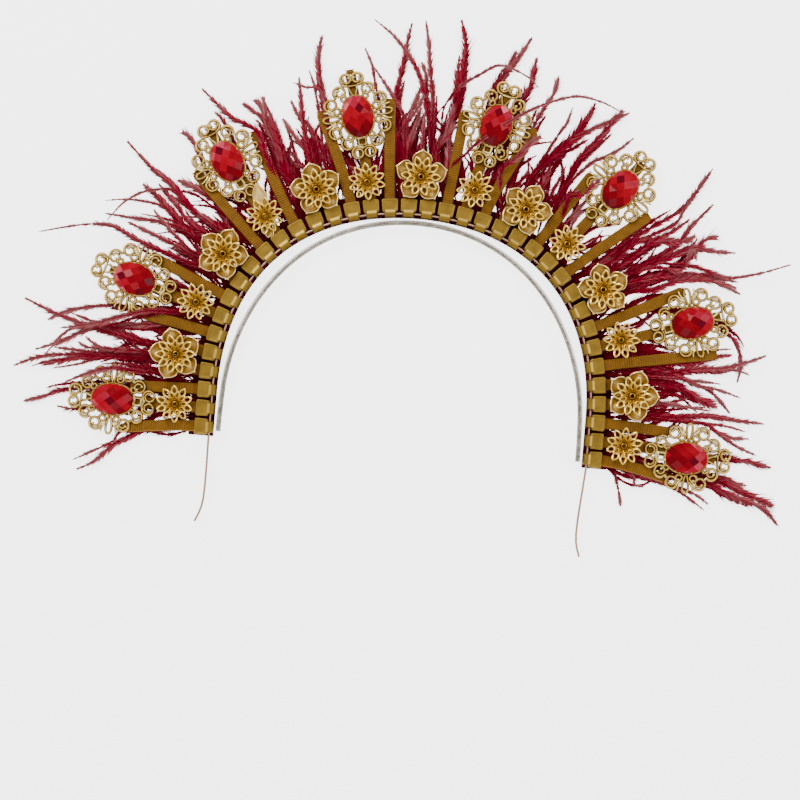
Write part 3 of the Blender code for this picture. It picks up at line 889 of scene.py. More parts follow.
def neck_shape():
    """The band over the head's edge, round the wire and in to the strap, and its painted light at each
    point.
    """
    face = HEAD_BACK + HEAD_DEPTH - LOOP_THICKNESS / 2
    line = [Vector((0, HEAD_BASE + BEND_START, face - BEND_RISE)), Vector((0, HEAD_BASE, face + BEND_RISE))]
    # Painted light: a full painted highlight on the bend by the head, half on the loop, painted shade from
    # the loop's inside on.
    shines = [1.0, 1.0]
    for step in range(NECK_STEPS + 1):
        turn = NECK_START + (3 * QUARTER - NECK_START) * step / NECK_STEPS
        line.append(UP * WIRE_HEIGHT + Vector((0, cos(turn), sin(turn))) * LOOP_RADIUS)
        shines.append(0.5 if turn < NECK_INSIDE else 0.1)
    line.append(Vector((0, HEAD_BASE + LOOP_SUNK, STRAP_HEIGHT)))
    shines.append(0.1)
    sections = []
    for number, point in enumerate(line):
        along = run_of(line, number).normalized()
        through = Vector((0, -along.z, along.y))
        sections.append(band_section(point, Vector((1, 0, 0)), through, STRAP_WIDTH, LOOP_THICKNESS))
    return Shape().skin(sections), [shine for shine in shines for _ in sections[0]]


HEAD = Shape().skin([head_outline(ring) for ring in HEAD_RINGS])
NECK, NECK_SHINE = neck_shape()
print("head and neck:", len(HEAD.faces) + len(NECK.faces), "faces")

# %% [markdown]
# ## Ribbed straps
# A strap is a flat band that leaves its head straight and bends gently to where it was glued. Its ribs
# repeat along that bent line every millimetre, which is a job for Geometry Nodes: the tree turns the line
# into a curve, puts a point on every pitch and a small bar on every point. Modelling the ribs into the
# band would tie their number to its length.

# %% Rib the straps
RIB_PITCH = 1.0 * MM
RIB_WIDTH = 0.5 * MM
RIB_RISE = 0.28 * MM
RIB_LENGTH = 4.1 * MM
STRAP_STEPS = 14
TIP_LENGTH = 1.6 * MM
TIP_WIDTH = 2.4 * MM


def rib_shape():
    """A low bar with a rounded back, across the strap."""
    outline = ((-0.5, -0.6), (-0.3, 0.75), (0.0, 1.0), (0.3, 0.75), (0.5, -0.6))
    ends = (-RIB_LENGTH / 2, RIB_LENGTH / 2)
    return Shape().skin([[Vector((x, RIB_WIDTH * y, RIB_RISE * z)) for y, z in outline] for x in ends])


def rib_tree():
    tree = Repeater("strap_ribs", pitch="Float", rib="Object", finish="Material")
    _, points, along = tree.spaced()
    turned = tree.node("FunctionNodeAlignRotationToVector", {"Vector": along}, axis="Y", pivot_axis="Z")
    return tree.ends_in(tree.copies(points, "rib", turned))


def strap_line(tip):
    """The strap's middle line in the tie's axes, from inside the head to its tip."""
    start = Vector((0, HEAD_BASE + HEAD_HEIGHT / 2, STRAP_HEIGHT))
    end = Vector((tip.x, tip.y, STRAP_HEIGHT))
    bend = start + Vector((0, (end - start).length / 3, 0))
    shares = [step / STRAP_STEPS for step in range(STRAP_STEPS + 1)]
    return [start.lerp(bend, share).lerp(bend.lerp(end, share), share) for share in shares]


def strap_shape(line, cut_tip):
    """The flat strap along its line, with its corners cut at the tip."""
    sections = []
    for number, point in enumerate(line):
        along = run_of(line, number)
        across = along.cross(UP).normalized()
        sections.append(band_section(point, across, UP, STRAP_WIDTH, STRAP_THICKNESS))
    if cut_tip:
        shoulder = line[-1] - along.normalized() * TIP_LENGTH
        sections[-1] = band_section(shoulder, across, UP, STRAP_WIDTH, STRAP_THICKNESS)
        sections.append(band_section(line[-1], across, UP, TIP_WIDTH, STRAP_THICKNESS))
    return Shape().skin(sections)


RIBS = rib_tree()
RIB = bpy.data.objects.new("rib", mesh_of(rib_shape()))
print("rib:", len(RIB.data.polygons), "faces, one every", RIB_PITCH / MM, "mm")

# %% [markdown]
# ## Setting the ties round the hoop
# Each ornament is glued on three long ties, whose tips are found from the ornament's own place. Between
# two ornaments stand two short ties that carry a large flower. Head, neck, strap and ribs keep their own
# finishes and are joined, because a real tie is one moulding.


# %% Set the ties
def add_tie(name, place, tip, cut_tip, replaced):
    """One tie as a single piece: head, neck, strap, and ribs on the strap outside the head."""
    line = strap_line(tip)
    head = mesh_of(HEAD.placed(place), 35, TIE_GOLD)
    # The neck's painted highlight and shade are stored as its "rim" for the finish.
    neck = store(mesh_of(NECK.placed(place), 35, NECK_GOLD), "rim", NECK_SHINE)
    strap = mesh_of(strap_shape(line, cut_tip).placed(place), 40, STRAP_GOLD)
    raised = [point + UP * STRAP_THICKNESS / 2 for point in line[2:]]
    back = edge_mesh([[point_at(place, *point) for point in raised]])
    ribs = RIBS.run(back, pitch=RIB_PITCH, rib=RIB, finish=RIB_GOLD)
    ribs.shade_smooth()
    ribs.set_sharp_from_angle(angle=radians(50))
    add_piece(name, merged(head, neck, strap, ribs), TIE_GOLD, "gold_plastic", replaced)


for number, row in enumerate(ORNAMENTS):
    for step, side in enumerate(("left", "middle", "right")):
        x, y = getattr(row, side)
        place = tie_place(number * GROUP_STEP + step)
        tip = seen_from(place, point_at(ORNAMENT_PLACES[number], x * MM, y * MM))
        node = f"tie_{number + 1}_{side}"
        add_tie(f"{node}_dressed", place, tip, True, node)
for number in range(len(LARGE_FLOWERS)):
    for step in range(TIES_IN_GROUP, GROUP_STEP):
        name = f"short_tie_{number + 1}_{step - TIES_IN_GROUP + 1}"
        tip = Vector((0, SHORT_STRAP_END, 0))
        add_tie(name, tie_place(number * GROUP_STEP + step), tip, False, f"flower_and_ties_{number + 1}")
print("ties:", TIE_COUNT)

# %% [markdown]
# ## The filigree plates
# Each plate is cast brass wire: rings with a curl inside them, a pair of curls at the top and a wider pair
# at the bottom, an open leaf with blades beside it at each side, and an open keystone between the stone
# and the curls at both ends. The two halves are alike, so one half is charted in millimetres from the
# stone's middle and mirrored.

# %% Chart the filigree
CURLS = table(
    "x y radius start turns shrink height",
    (2.5, 16.3, 2.45, 262, 1.3, 0.42, 0.3),
    (6.2, 11.3, 2.55, 313, 1.3, 0.38, 0.1),
    (10.8, 6.4, 2.6, 285, 1.35, 0.38, 0.25),
    (10.7, -5.3, 2.6, 75, -1.35, 0.38, 0.25),
    (6.4, -10.6, 2.55, 49, -1.3, 0.38, 0.1),
    (2.6, -15.2, 2.45, 98, -1.3, 0.5, 0.3),
    (8.7, 3.7, 1.5, 40, 0.95, 0.8, 0.2),
    (8.7, -2.4, 1.35, -40, -0.95, 0.8, 0.2),
    (4.9, 8.7, 1.25, 60, 0.95, 0.8, 0.2),
    (4.8, -8.5, 1.25, -60, -0.95, 0.8, 0.2),
)
BLADES = table(
    "root_x root_y tip_x tip_y bow",
    (10.2, 2.1, 14.3, 3.9, 0.5),
    (10.2, -0.9, 14.3, -2.7, -0.5),
    (9.6, 2.9, 13.0, 5.0, 0.3),
    (9.6, -1.7, 13.0, -3.8, -0.3),
)
LINKS = table(
    "from_x from_y to_x to_y",
    (7.8, 9.7, 9.2, 8.2),
    (4.8, 13.3, 4.0, 14.3),
    (9.3, -7.3, 8.0, -8.8),
    (4.9, -12.4, 3.9, -13.6),
    (6.0, 2.8, 7.8, 3.2),
    (6.0, -2.2, 7.8, -2.4),
    (3.6, 8.4, 4.0, 9.2),
    (3.6, -8.2, 4.0, -9.0),
    (4.9, 10.5, 5.6, 11.0),
    (5.0, -10.0, 5.6, -10.4),
    (0.0, -13.3, 2.4, -12.6),
)
CROWN_BEADS = table(
    "x y height size",
    (0.0, 17.9, 0.5, 0.85),
    (-1.1, 17.1, 0.4, 0.8),
    (1.1, 17.1, 0.4, 0.8),
    (0.0, 16.0, 0.3, 0.6),
)
TOP_KEYSTONE = ((0.3, 9.0), (1.6, 11.9), (2.0, 13.6), (-2.0, 13.6), (-1.6, 11.9), (-0.3, 9.0))
BOTTOM_KEYSTONE = ((-1.5, -8.8), (1.5, -8.8), (1.6, -12.0), (-1.6, -12.0))
FAN_ROOT = 6.8
FAN_TIP = 15.0
FAN_MIDDLE = 0.6
FAN_HALF_WIDTH = 1.45
FAN_POINTS = 16
CURL_STEPS = 26
CURL_OPEN = 0.45
CURL_DRIFT = 0.18
BLADE_POINTS = 7
CURL_WIRE = 0.8 * MM
CURL_WIRE_END = 0.62 * MM
FILIGREE_MIDDLE = TRIM_BASE + 0.55 * MM
BEAD_SIZE = 0.85 * MM
FRAME_X = 6.9 * MM
FRAME_Y = 9.35 * MM
FRAME_POINTS = 40
print("half a plate:", len(CURLS), "curls,", len(BLADES), "blades and", len(LINKS), "links")

# %% [markdown]
# ## Bending the filigree's wires
# Apart from a few beads, every part of a plate is a path that a round wire follows. A curl starts as a
# ring and closes in on a point off its middle, so its radius shrinks while its centre drifts. Sweeping
# wires is simpler than piercing a solid plate, and leaves the rounded edges that catch the light.


# %% Bend the wires
def spot(x, y, height=0.0):
    """A point of the filigree, from millimetres."""
    return Vector((x * MM, y * MM, FILIGREE_MIDDLE + height * MM))


def curl_path(curl, side):
    """A spiral that starts as a ring and closes in on a point off its middle."""
    path = []
    for step in range(CURL_STEPS + 1):
        share = step / CURL_STEPS
        angle = radians(curl.start) + 2 * pi * curl.turns * share
        closing = max(share - CURL_OPEN, 0) / (1 - CURL_OPEN)
        radius = curl.radius * (1 - (1 - curl.shrink) * closing)
        drift = curl.radius * CURL_DRIFT * closing
        x = curl.x + radius * cos(angle) - drift * cos(radians(curl.start))
        y = curl.y + radius * sin(angle) - drift * sin(radians(curl.start))
        path.append(spot(side * x, y, curl.height * sin(pi * share)))
    return path


def blade_path(blade, side):
    root, tip = Vector((blade.root_x, blade.root_y, 0)), Vector((blade.tip_x, blade.tip_y, 0))
    path = []
    for step in range(BLADE_POINTS):
        share = step / (BLADE_POINTS - 1)
        point = root.lerp(tip, share)
        path.append(spot(side * point.x, point.y + blade.bow * sin(pi * share), 0.35 * sin(pi * share)))
    return path


def fan_path(side):
    """The open leaf in the middle of the fan: pointed at the stone, round at its tip."""
    path = []
    for turn in around(FAN_POINTS):
        along = (1 - cos(turn)) / 2
        x = FAN_ROOT + (FAN_TIP - FAN_ROOT) * along
        y = FAN_MIDDLE + FAN_HALF_WIDTH * sin(turn) * (0.35 + 0.9 * along)
        path.append(spot(side * x, y, 0.4 * along))
    return path


def keystone_path(corners):
    """The open frame of a keystone, three steps to a side."""
    path = []
    for (x, y), (next_x, next_y) in zip(corners, corners[1:] + corners[:1]):
        path += [spot(x + (next_x - x) * n / 3, y + (next_y - y) * n / 3) for n in range(3)]
    return path


def filigree_shape():
    shape = Shape()
    taper = [CURL_WIRE + (CURL_WIRE_END - CURL_WIRE) * step / CURL_STEPS for step in range(CURL_STEPS + 1)]
    blade_taper = [(0.34 + 0.24 * sin(pi * (step + 0.6) / 7)) * MM for step in range(BLADE_POINTS)]
    for side in (-1, 1):
        for curl in CURLS:
            path = curl_path(curl, side)
            shape.tube(path, taper)
            shape.bead(path[-1], BEAD_SIZE, 0.8)
        for blade in BLADES:
            shape.tube(blade_path(blade, side), blade_taper)
        shape.tube(fan_path(side), CURL_WIRE_END, closed=True)
        for link in LINKS:
            ends = [spot(side * link.from_x, link.from_y), spot(side * link.to_x, link.to_y)]
            shape.tube(ends, CURL_WIRE_END)
    turns = around(FRAME_POINTS)
    oval = [Vector((FRAME_X * cos(turn), FRAME_Y * sin(turn), FILIGREE_MIDDLE)) for turn in turns]
    shape.tube(oval, CURL_WIRE_END, closed=True)
    for bead in CROWN_BEADS:
        shape.bead(spot(bead.x, bead.y, bead.height), bead.size * MM, 0.8)
    for corners in (TOP_KEYSTONE, BOTTOM_KEYSTONE):
        shape.tube(keystone_path(corners), CURL_WIRE_END, closed=True)
    return shape


FILIGREE = filigree_shape()
for number, place in enumerate(ORNAMENT_PLACES, 1):
    plate = mesh_of(FILIGREE.placed(place), 60)
    add_piece(f"scrollwork_{number}", plate, FILIGREE_GOLD, "gold_metal", f"filigree_{number}")
print("filigree:", len(FILIGREE.faces), "faces a plate")

# %% [markdown]
# ## The red stones
# The stones have a checkerboard cut: lozenge facets in a diagonal grid over a low dome. On a paraboloid
# such a grid has flat facets by itself, because opposite corners of each lozenge add up to the same
# height. So the dome is a plain grid of points, and a Boolean with an oval prism trims it to its girdle.

# %% Cut the stones
STONE_LENGTH = 18.0 * MM
STONE_WIDTH = 13.0 * MM
STONE_BASE = TRIM_BASE + 1.5 * MM
STONE_RISE = 4.4 * MM
GIRDLE_RISE = 1.3 * MM
STONE_SIDES = 40
LOZENGE = 4.4 * MM
LOZENGE_WIDER = 1.25
LOZENGE_LONGER = 1.1
GRID_REACH = 5
STONE_SEED = 11
REFLECTION_SPREAD = 0.13
DARK_SPOT_X = (-3.4, 3.4)
DARK_SPOT_Y = (1.5, 5.0)


def dome_point(row, column):
    """A point of the paraboloid, as high as the stone in the middle and as the girdle at the outline."""
    x = (row + column + 0.6) * LOZENGE / 2 * STONE_WIDTH / STONE_LENGTH * LOZENGE_WIDER
    y = (row - column + 0.3) * LOZENGE / 2 * LOZENGE_LONGER
    outwards = (2 * x / STONE_WIDTH) ** 2 + (2 * y / STONE_LENGTH) ** 2
    return Vector((x, y, STONE_RISE - (STONE_RISE - GIRDLE_RISE) * outwards))


def grid_dome():
    """A solid under the faceted dome, larger than the stone."""
    grid = range(-GRID_REACH, GRID_REACH + 1)
    over = [dome_point(row, column) for row in grid for column in grid]
    shape = Shape()
    shape.slab(over, [Vector((point.x, point.y, -0.1)) for point in over], len(grid))
    return shape


def oval_ring(height, share):
    half_width, half_length = STONE_WIDTH / 2 * share, STONE_LENGTH / 2 * share
    return [Vector((half_width * cos(t), half_length * sin(t), height)) for t in around(STONE_SIDES)]


def cut_stone():
    """The dome trimmed by an oval prism."""
    rings = (oval_ring(0.0, 0.9), oval_ring(GIRDLE_RISE * 0.4, 1.0), oval_ring(STONE_RISE * 2, 1.0))
    stone = show("stone_blank", mesh_of(Shape().skin(rings)))
    dome = show("stone_dome", mesh_of(grid_dome()))
    trim = stone.modifiers.new("trim", "BOOLEAN")
    trim.operation, trim.object = "INTERSECT", dome
    data = baked(stone)
    bpy.data.objects.remove(dome)
    return data


def facet_reflections(draw):
    """Painted reflections, one tone per facet: clear red inwards, painted pink towards the outer end, and
    painted dark at one spot.
    """
    shades = []
    for side in STONE.polygons:
        outwards = side.center.y / STONE_LENGTH
        shades.append(min(max(draw.gauss(0.54 + 0.62 * outwards, REFLECTION_SPREAD), 0.0), 1.0))
    dark = Vector((draw.uniform(*DARK_SPOT_X), draw.uniform(*DARK_SPOT_Y), STONE_RISE / MM)) * MM
    shades[min(STONE.polygons, key=lambda side: (side.center - dark).length).index] = 0.0
    return shades


STONE = cut_stone()
for number, place in enumerate(ORNAMENT_PLACES):
    stone = store(STONE.copy(), "facet", facet_reflections(random.Random(STONE_SEED + number)), "FACE")
    stone.transform(setting(place, STONE_BASE))
    add_piece(f"red_stone_{number + 1}", stone, RUBY, "ruby_glass", f"stone_{number + 1}")
print("stone:", len(STONE.polygons), "facets")

# %% [markdown]
# ## Petals round a circle
# All flowers here are one petal repeated round a circle. So a second tree takes a petal and a count, puts
# that many points in the middle, and turns the petal on each point by its share of the circle. The same
# tree serves the small flowers and the large ones.


# %% Repeat a petal
def round_tree():
    tree = Repeater("petals_round", count="Int", petal="Object", finish="Material")
    points = tree.node("GeometryNodePoints", {"Count": tree.given("count")})
    turn = tree.node("GeometryNodeInputIndex") * (2 * pi) / tree.given("count")
    euler = tree.node("ShaderNodeCombineXYZ", {"Z": turn})
    rotation = tree.node("FunctionNodeEulerToRotation", {"Euler": euler})
    return tree.ends_in(tree.copies(points, "petal", rotation))


def petals_round(count, petal, finish):
    """A mesh that the second tree repeats round a circle."""
    held = bpy.data.objects.new("petal", petal)
    return PETAL_ROUND.run(bpy.data.meshes.new("round_base"), count=count, petal=held, finish=finish)


def set_down(data, *where):
    """A copy of a mesh at a place, a height, a spin and a size."""
    made = data.copy()
    made.transform(setting(*where))
    return made


PETAL_ROUND = round_tree()
print("petals ready")

# %% [markdown]
# ## The small flowers
# A small flower is pressed wire: ten pointed loops, a ring of smaller loops between their feet, and a cup
# of little bars round a drilled middle. A tenth of it is modelled and repeated. Every point also stores
# its painted light, for the finish to read: painted shade deepens towards the cup's middle.

# %% Press the small flowers
ROSETTE_PETALS = 10
ROSETTE_RADIUS = 7.7
ROSETTE_WIRE = 0.47 * MM
LOOP_POINTS = 14
CORE_SIDES = 30
CORE_RINGS = ((0.95, 0.75, 0.36), (1.95, 0.95, 0.34), (2.75, 1.25, 0.26))


def cup_point(radius, lift=0.0, across=0.0):
    """A point of the rosette's cup at a radius along +Y, from millimetres."""
    rise = 0.9 + 0.34 * max(radius - 1.6, 0) ** 1.15 if radius < 5.2 else 2.35 + 0.4 * (radius - 5.2)
    return Vector((across, radius, rise + lift)) * MM


def pointed_loop(inner, outer, width, lift=0.0):
    """A closed loop that is round at its foot and pointed at its tip."""
    path = []
    for turn in around(LOOP_POINTS):
        along = (1 - cos(turn)) / 2
        across = width * sin(turn) * (1 - 0.75 * along ** 3)
        path.append(cup_point(inner + (outer - inner) * along, lift, across))
    return path


def rosette_petal():
    """A tenth of the small flower: a petal, the smaller loop beside its foot, and the bars of the cup."""
    shape, small = Shape(), Shape()
    shape.tube(pointed_loop(4.4, ROSETTE_RADIUS, 1.2), ROSETTE_WIRE, 5, closed=True)
    small.tube(pointed_loop(2.8, 5.5, 0.7, 0.25), ROSETTE_WIRE * 0.8, 5, closed=True)
    small.bead(cup_point(2.3, 0.1), 0.42 * MM)
    aside = small.placed((Vector((0, 0, 0)), pi / ROSETTE_PETALS))
    shape.add(aside.points, aside.faces)
    shape.tube([cup_point(radius) for radius in (1.9, 2.7, 3.4, 4.2)], ROSETTE_WIRE * 0.8, 5)
    shape.bead(cup_point(3.6, 0.25), 0.4 * MM)
    return shape


def rosette_core():
    """The dished plate under the bars, and the rings round the drilled middle."""
    profile = ((0.55, 0.5), (1.9, 0.55), (4.4, 1.5), (4.4, 1.2), (1.9, 0.2), (0.55, 0.1))
    turns = around(CORE_SIDES)
    sections = [[polar(radius * MM, turn, height * MM) for radius, height in profile] for turn in turns]
    shape = Shape().skin(sections, closed=True)
    for radius, height, wire in CORE_RINGS:
        shape.tube([polar(radius * MM, turn, height * MM) for turn in turns], wire * MM, 5, closed=True)
    return shape


def rosette_mesh():
    petal = mesh_of(rosette_petal(), 60)
    # Painted shade: points are darker the nearer they lie to the middle, and the dished plate under the bars
    # darker still.
    outwards = [min(max(point.co.length / MM - 1.6, 0) / 4.4, 1.0) for point in petal.vertices]
    store(petal, "rim", [0.12 + 0.88 * share for share in outwards])
    core = mesh_of(rosette_core(), 60, ROSETTE_GOLD)
    store(core, "rim", [0.3 if point.co.z > 0.85 * MM else 0.0 for point in core.vertices])
    return merged(core, petals_round(ROSETTE_PETALS, petal, ROSETTE_GOLD))


ROSETTE = rosette_mesh()
for number, place in enumerate(SMALL_FLOWER_PLACES, 1):
    rosette = set_down(ROSETTE, place, TRIM_BASE)
    add_piece(f"rosette_{number}", rosette, ROSETTE_GOLD, "gold_metal", f"small_flower_{number}")
print("small flower:", len(ROSETTE.polygons), "faces")

# %% [markdown]
# ## The large flowers
# A large flower is five cupped petals with a small flower nested in them. A petal is a grid of points: a
# smooth curve through a table gives each row its width, height and cup, and a second grid above it makes
# the metal's thickness. A thin wire round the rim catches the light. The same tree repeats the petal.

# %% Cup the large petals
PETAL_COUNT = 5
PETAL_ROWS = 12
PETAL_COLUMNS = 12
PETAL_WALL = 0.4
PETAL_RIM = 0.3 * MM
PETAL_RIPPLE = 0.12
FLOWER_BASE = STRAP_HEIGHT + STRAP_THICKNESS / 2 + 0.1 * MM
NEST_RISE = 1.7 * MM
NEST_SIZE = 1.07
PETAL_OUTLINE = table(
    "out half_width height cup",
    (2.6, 1.5, 0.6, 0.0),
    (4.4, 2.9, 0.7, 0.5),
    (6.4, 3.8, 1.0, 1.4),
    (8.4, 4.0, 1.7, 2.1),
    (10.0, 2.8, 2.8, 1.6),
    (10.9, 1.3, 3.8, 0.7),
    (11.4, 0.25, 4.3, 0.1),
)


def petal_shape(outline):
    """A cupped petal with a thickness, pointing along +Y."""
    smooth = smooth_path([Vector(row) for row in outline], 2 * PETAL_ROWS)
    under = []
    for out, half, height, cup in smooth[::2 * (len(outline) - 1)]:
        for column in range(PETAL_COLUMNS + 1):
            u = 2 * column / PETAL_COLUMNS - 1
            ripple = PETAL_RIPPLE * cos(3 * pi * u) * half / 4
            under.append(Vector((half * u, out - 0.5 * abs(u) ** 2, height + cup * u * u + ripple)) * MM)
    over = [point + UP * PETAL_WALL * MM for point in under]
    shape = Shape()
    rim = shape.slab(over, under, PETAL_COLUMNS + 1)
    start = (PETAL_COLUMNS + 1) // 2
    shape.tube([over[n] for n in rim[start:] + rim[:start]], PETAL_RIM, 5, closed=True)
    return shape


def petal_rims(count):
    """The painted light of each point of a petal: a painted highlight on its edge and rim wire, a painted
    shadow crescent inside it, and painted shadow towards its foot, where a flower lies over it.
    """
    values = []
    for row in range(PETAL_ROWS + 1):
        for column in range(PETAL_COLUMNS + 1):
            edge = min(1 - abs(2 * column / PETAL_COLUMNS - 1), 1.4 * (1 - row / PETAL_ROWS))
            clear_of_painted_shadow = min(max(3.4 * row / PETAL_ROWS - 1.0, 0.1), 1.0)
            shine = min(0.45 + 1.6 * max(edge - 0.12, 0), 0.9) * clear_of_painted_shadow
            values.append(1.0 if edge < 0.05 else shine)
    return values * 2 + [1.0] * (count - 2 * len(values))


def petal_mesh(outline):
    data = mesh_of(petal_shape(outline), 60)
    return store(data, "rim", petal_rims(len(data.vertices)))


FLOWER = petals_round(PETAL_COUNT, petal_mesh(PETAL_OUTLINE), PETAL_GOLD)
for number, (row, place) in enumerate(zip(LARGE_FLOWERS, LARGE_FLOWER_PLACES), 1):
    node = f"flower_and_ties_{number}"
    add_piece(f"petals_{number}", set_down(FLOWER, place, FLOWER_BASE), PETAL_GOLD, "gold_metal", node)
    nested = set_down(ROSETTE, place, FLOWER_BASE + NEST_RISE, row.nested_turn, NEST_SIZE)
    add_piece(f"nested_rosette_{number}", nested, ROSETTE_GOLD, "gold_metal", node)
print("large flower:", len(FLOWER.polygons), "faces")

# %% [markdown]
# ## The bent leaf
# Under the third small flower lies a metal leaf, bent up at its outer end. It is a petal with an outline of
# its own, so the same functions make it.

# %% Add the leaf
LEAF_FLOWER = 2
LEAF_SPIN = -20.7
LEAF_OUTLINE = table(
    "out half_width height cup",
    (-8.8, 0.7, 0.5, 0.0),
    (-7.2, 1.8, 0.2, 0.1),
    (-2.0, 2.3, 0.1, 0.1),
    (4.0, 2.6, 0.2, 0.3),
    (8.4, 2.9, 0.7, 0.7),
    (11.2, 2.3, 1.5, 1.0),
    (13.2, 1.2, 2.4, 0.6),
    (14.2, 0.2, 3.0, 0.1),
)
leaf = set_down(petal_mesh(LEAF_OUTLINE), SMALL_FLOWER_PLACES[LEAF_FLOWER], FLOWER_BASE, LEAF_SPIN)
add_piece("bent_leaf", leaf, PETAL_GOLD, "gold_metal")
print("leaf:", len(leaf.polygons), "faces")

# %% [markdown]
# ## The long flues of the fringe
# Ostrich flues are soft stems with a comb of fine barbs on both sides, so thin that white shows through a
# single one and only a bundle looks dark. The long flues give the crown its outline, so they were charted
# one by one. A row of the chart gives the tie that a flue starts at, its width in pixels, how far it lifts
# in millimetres, and the pixels of the photograph that it passes, each as its column and row.

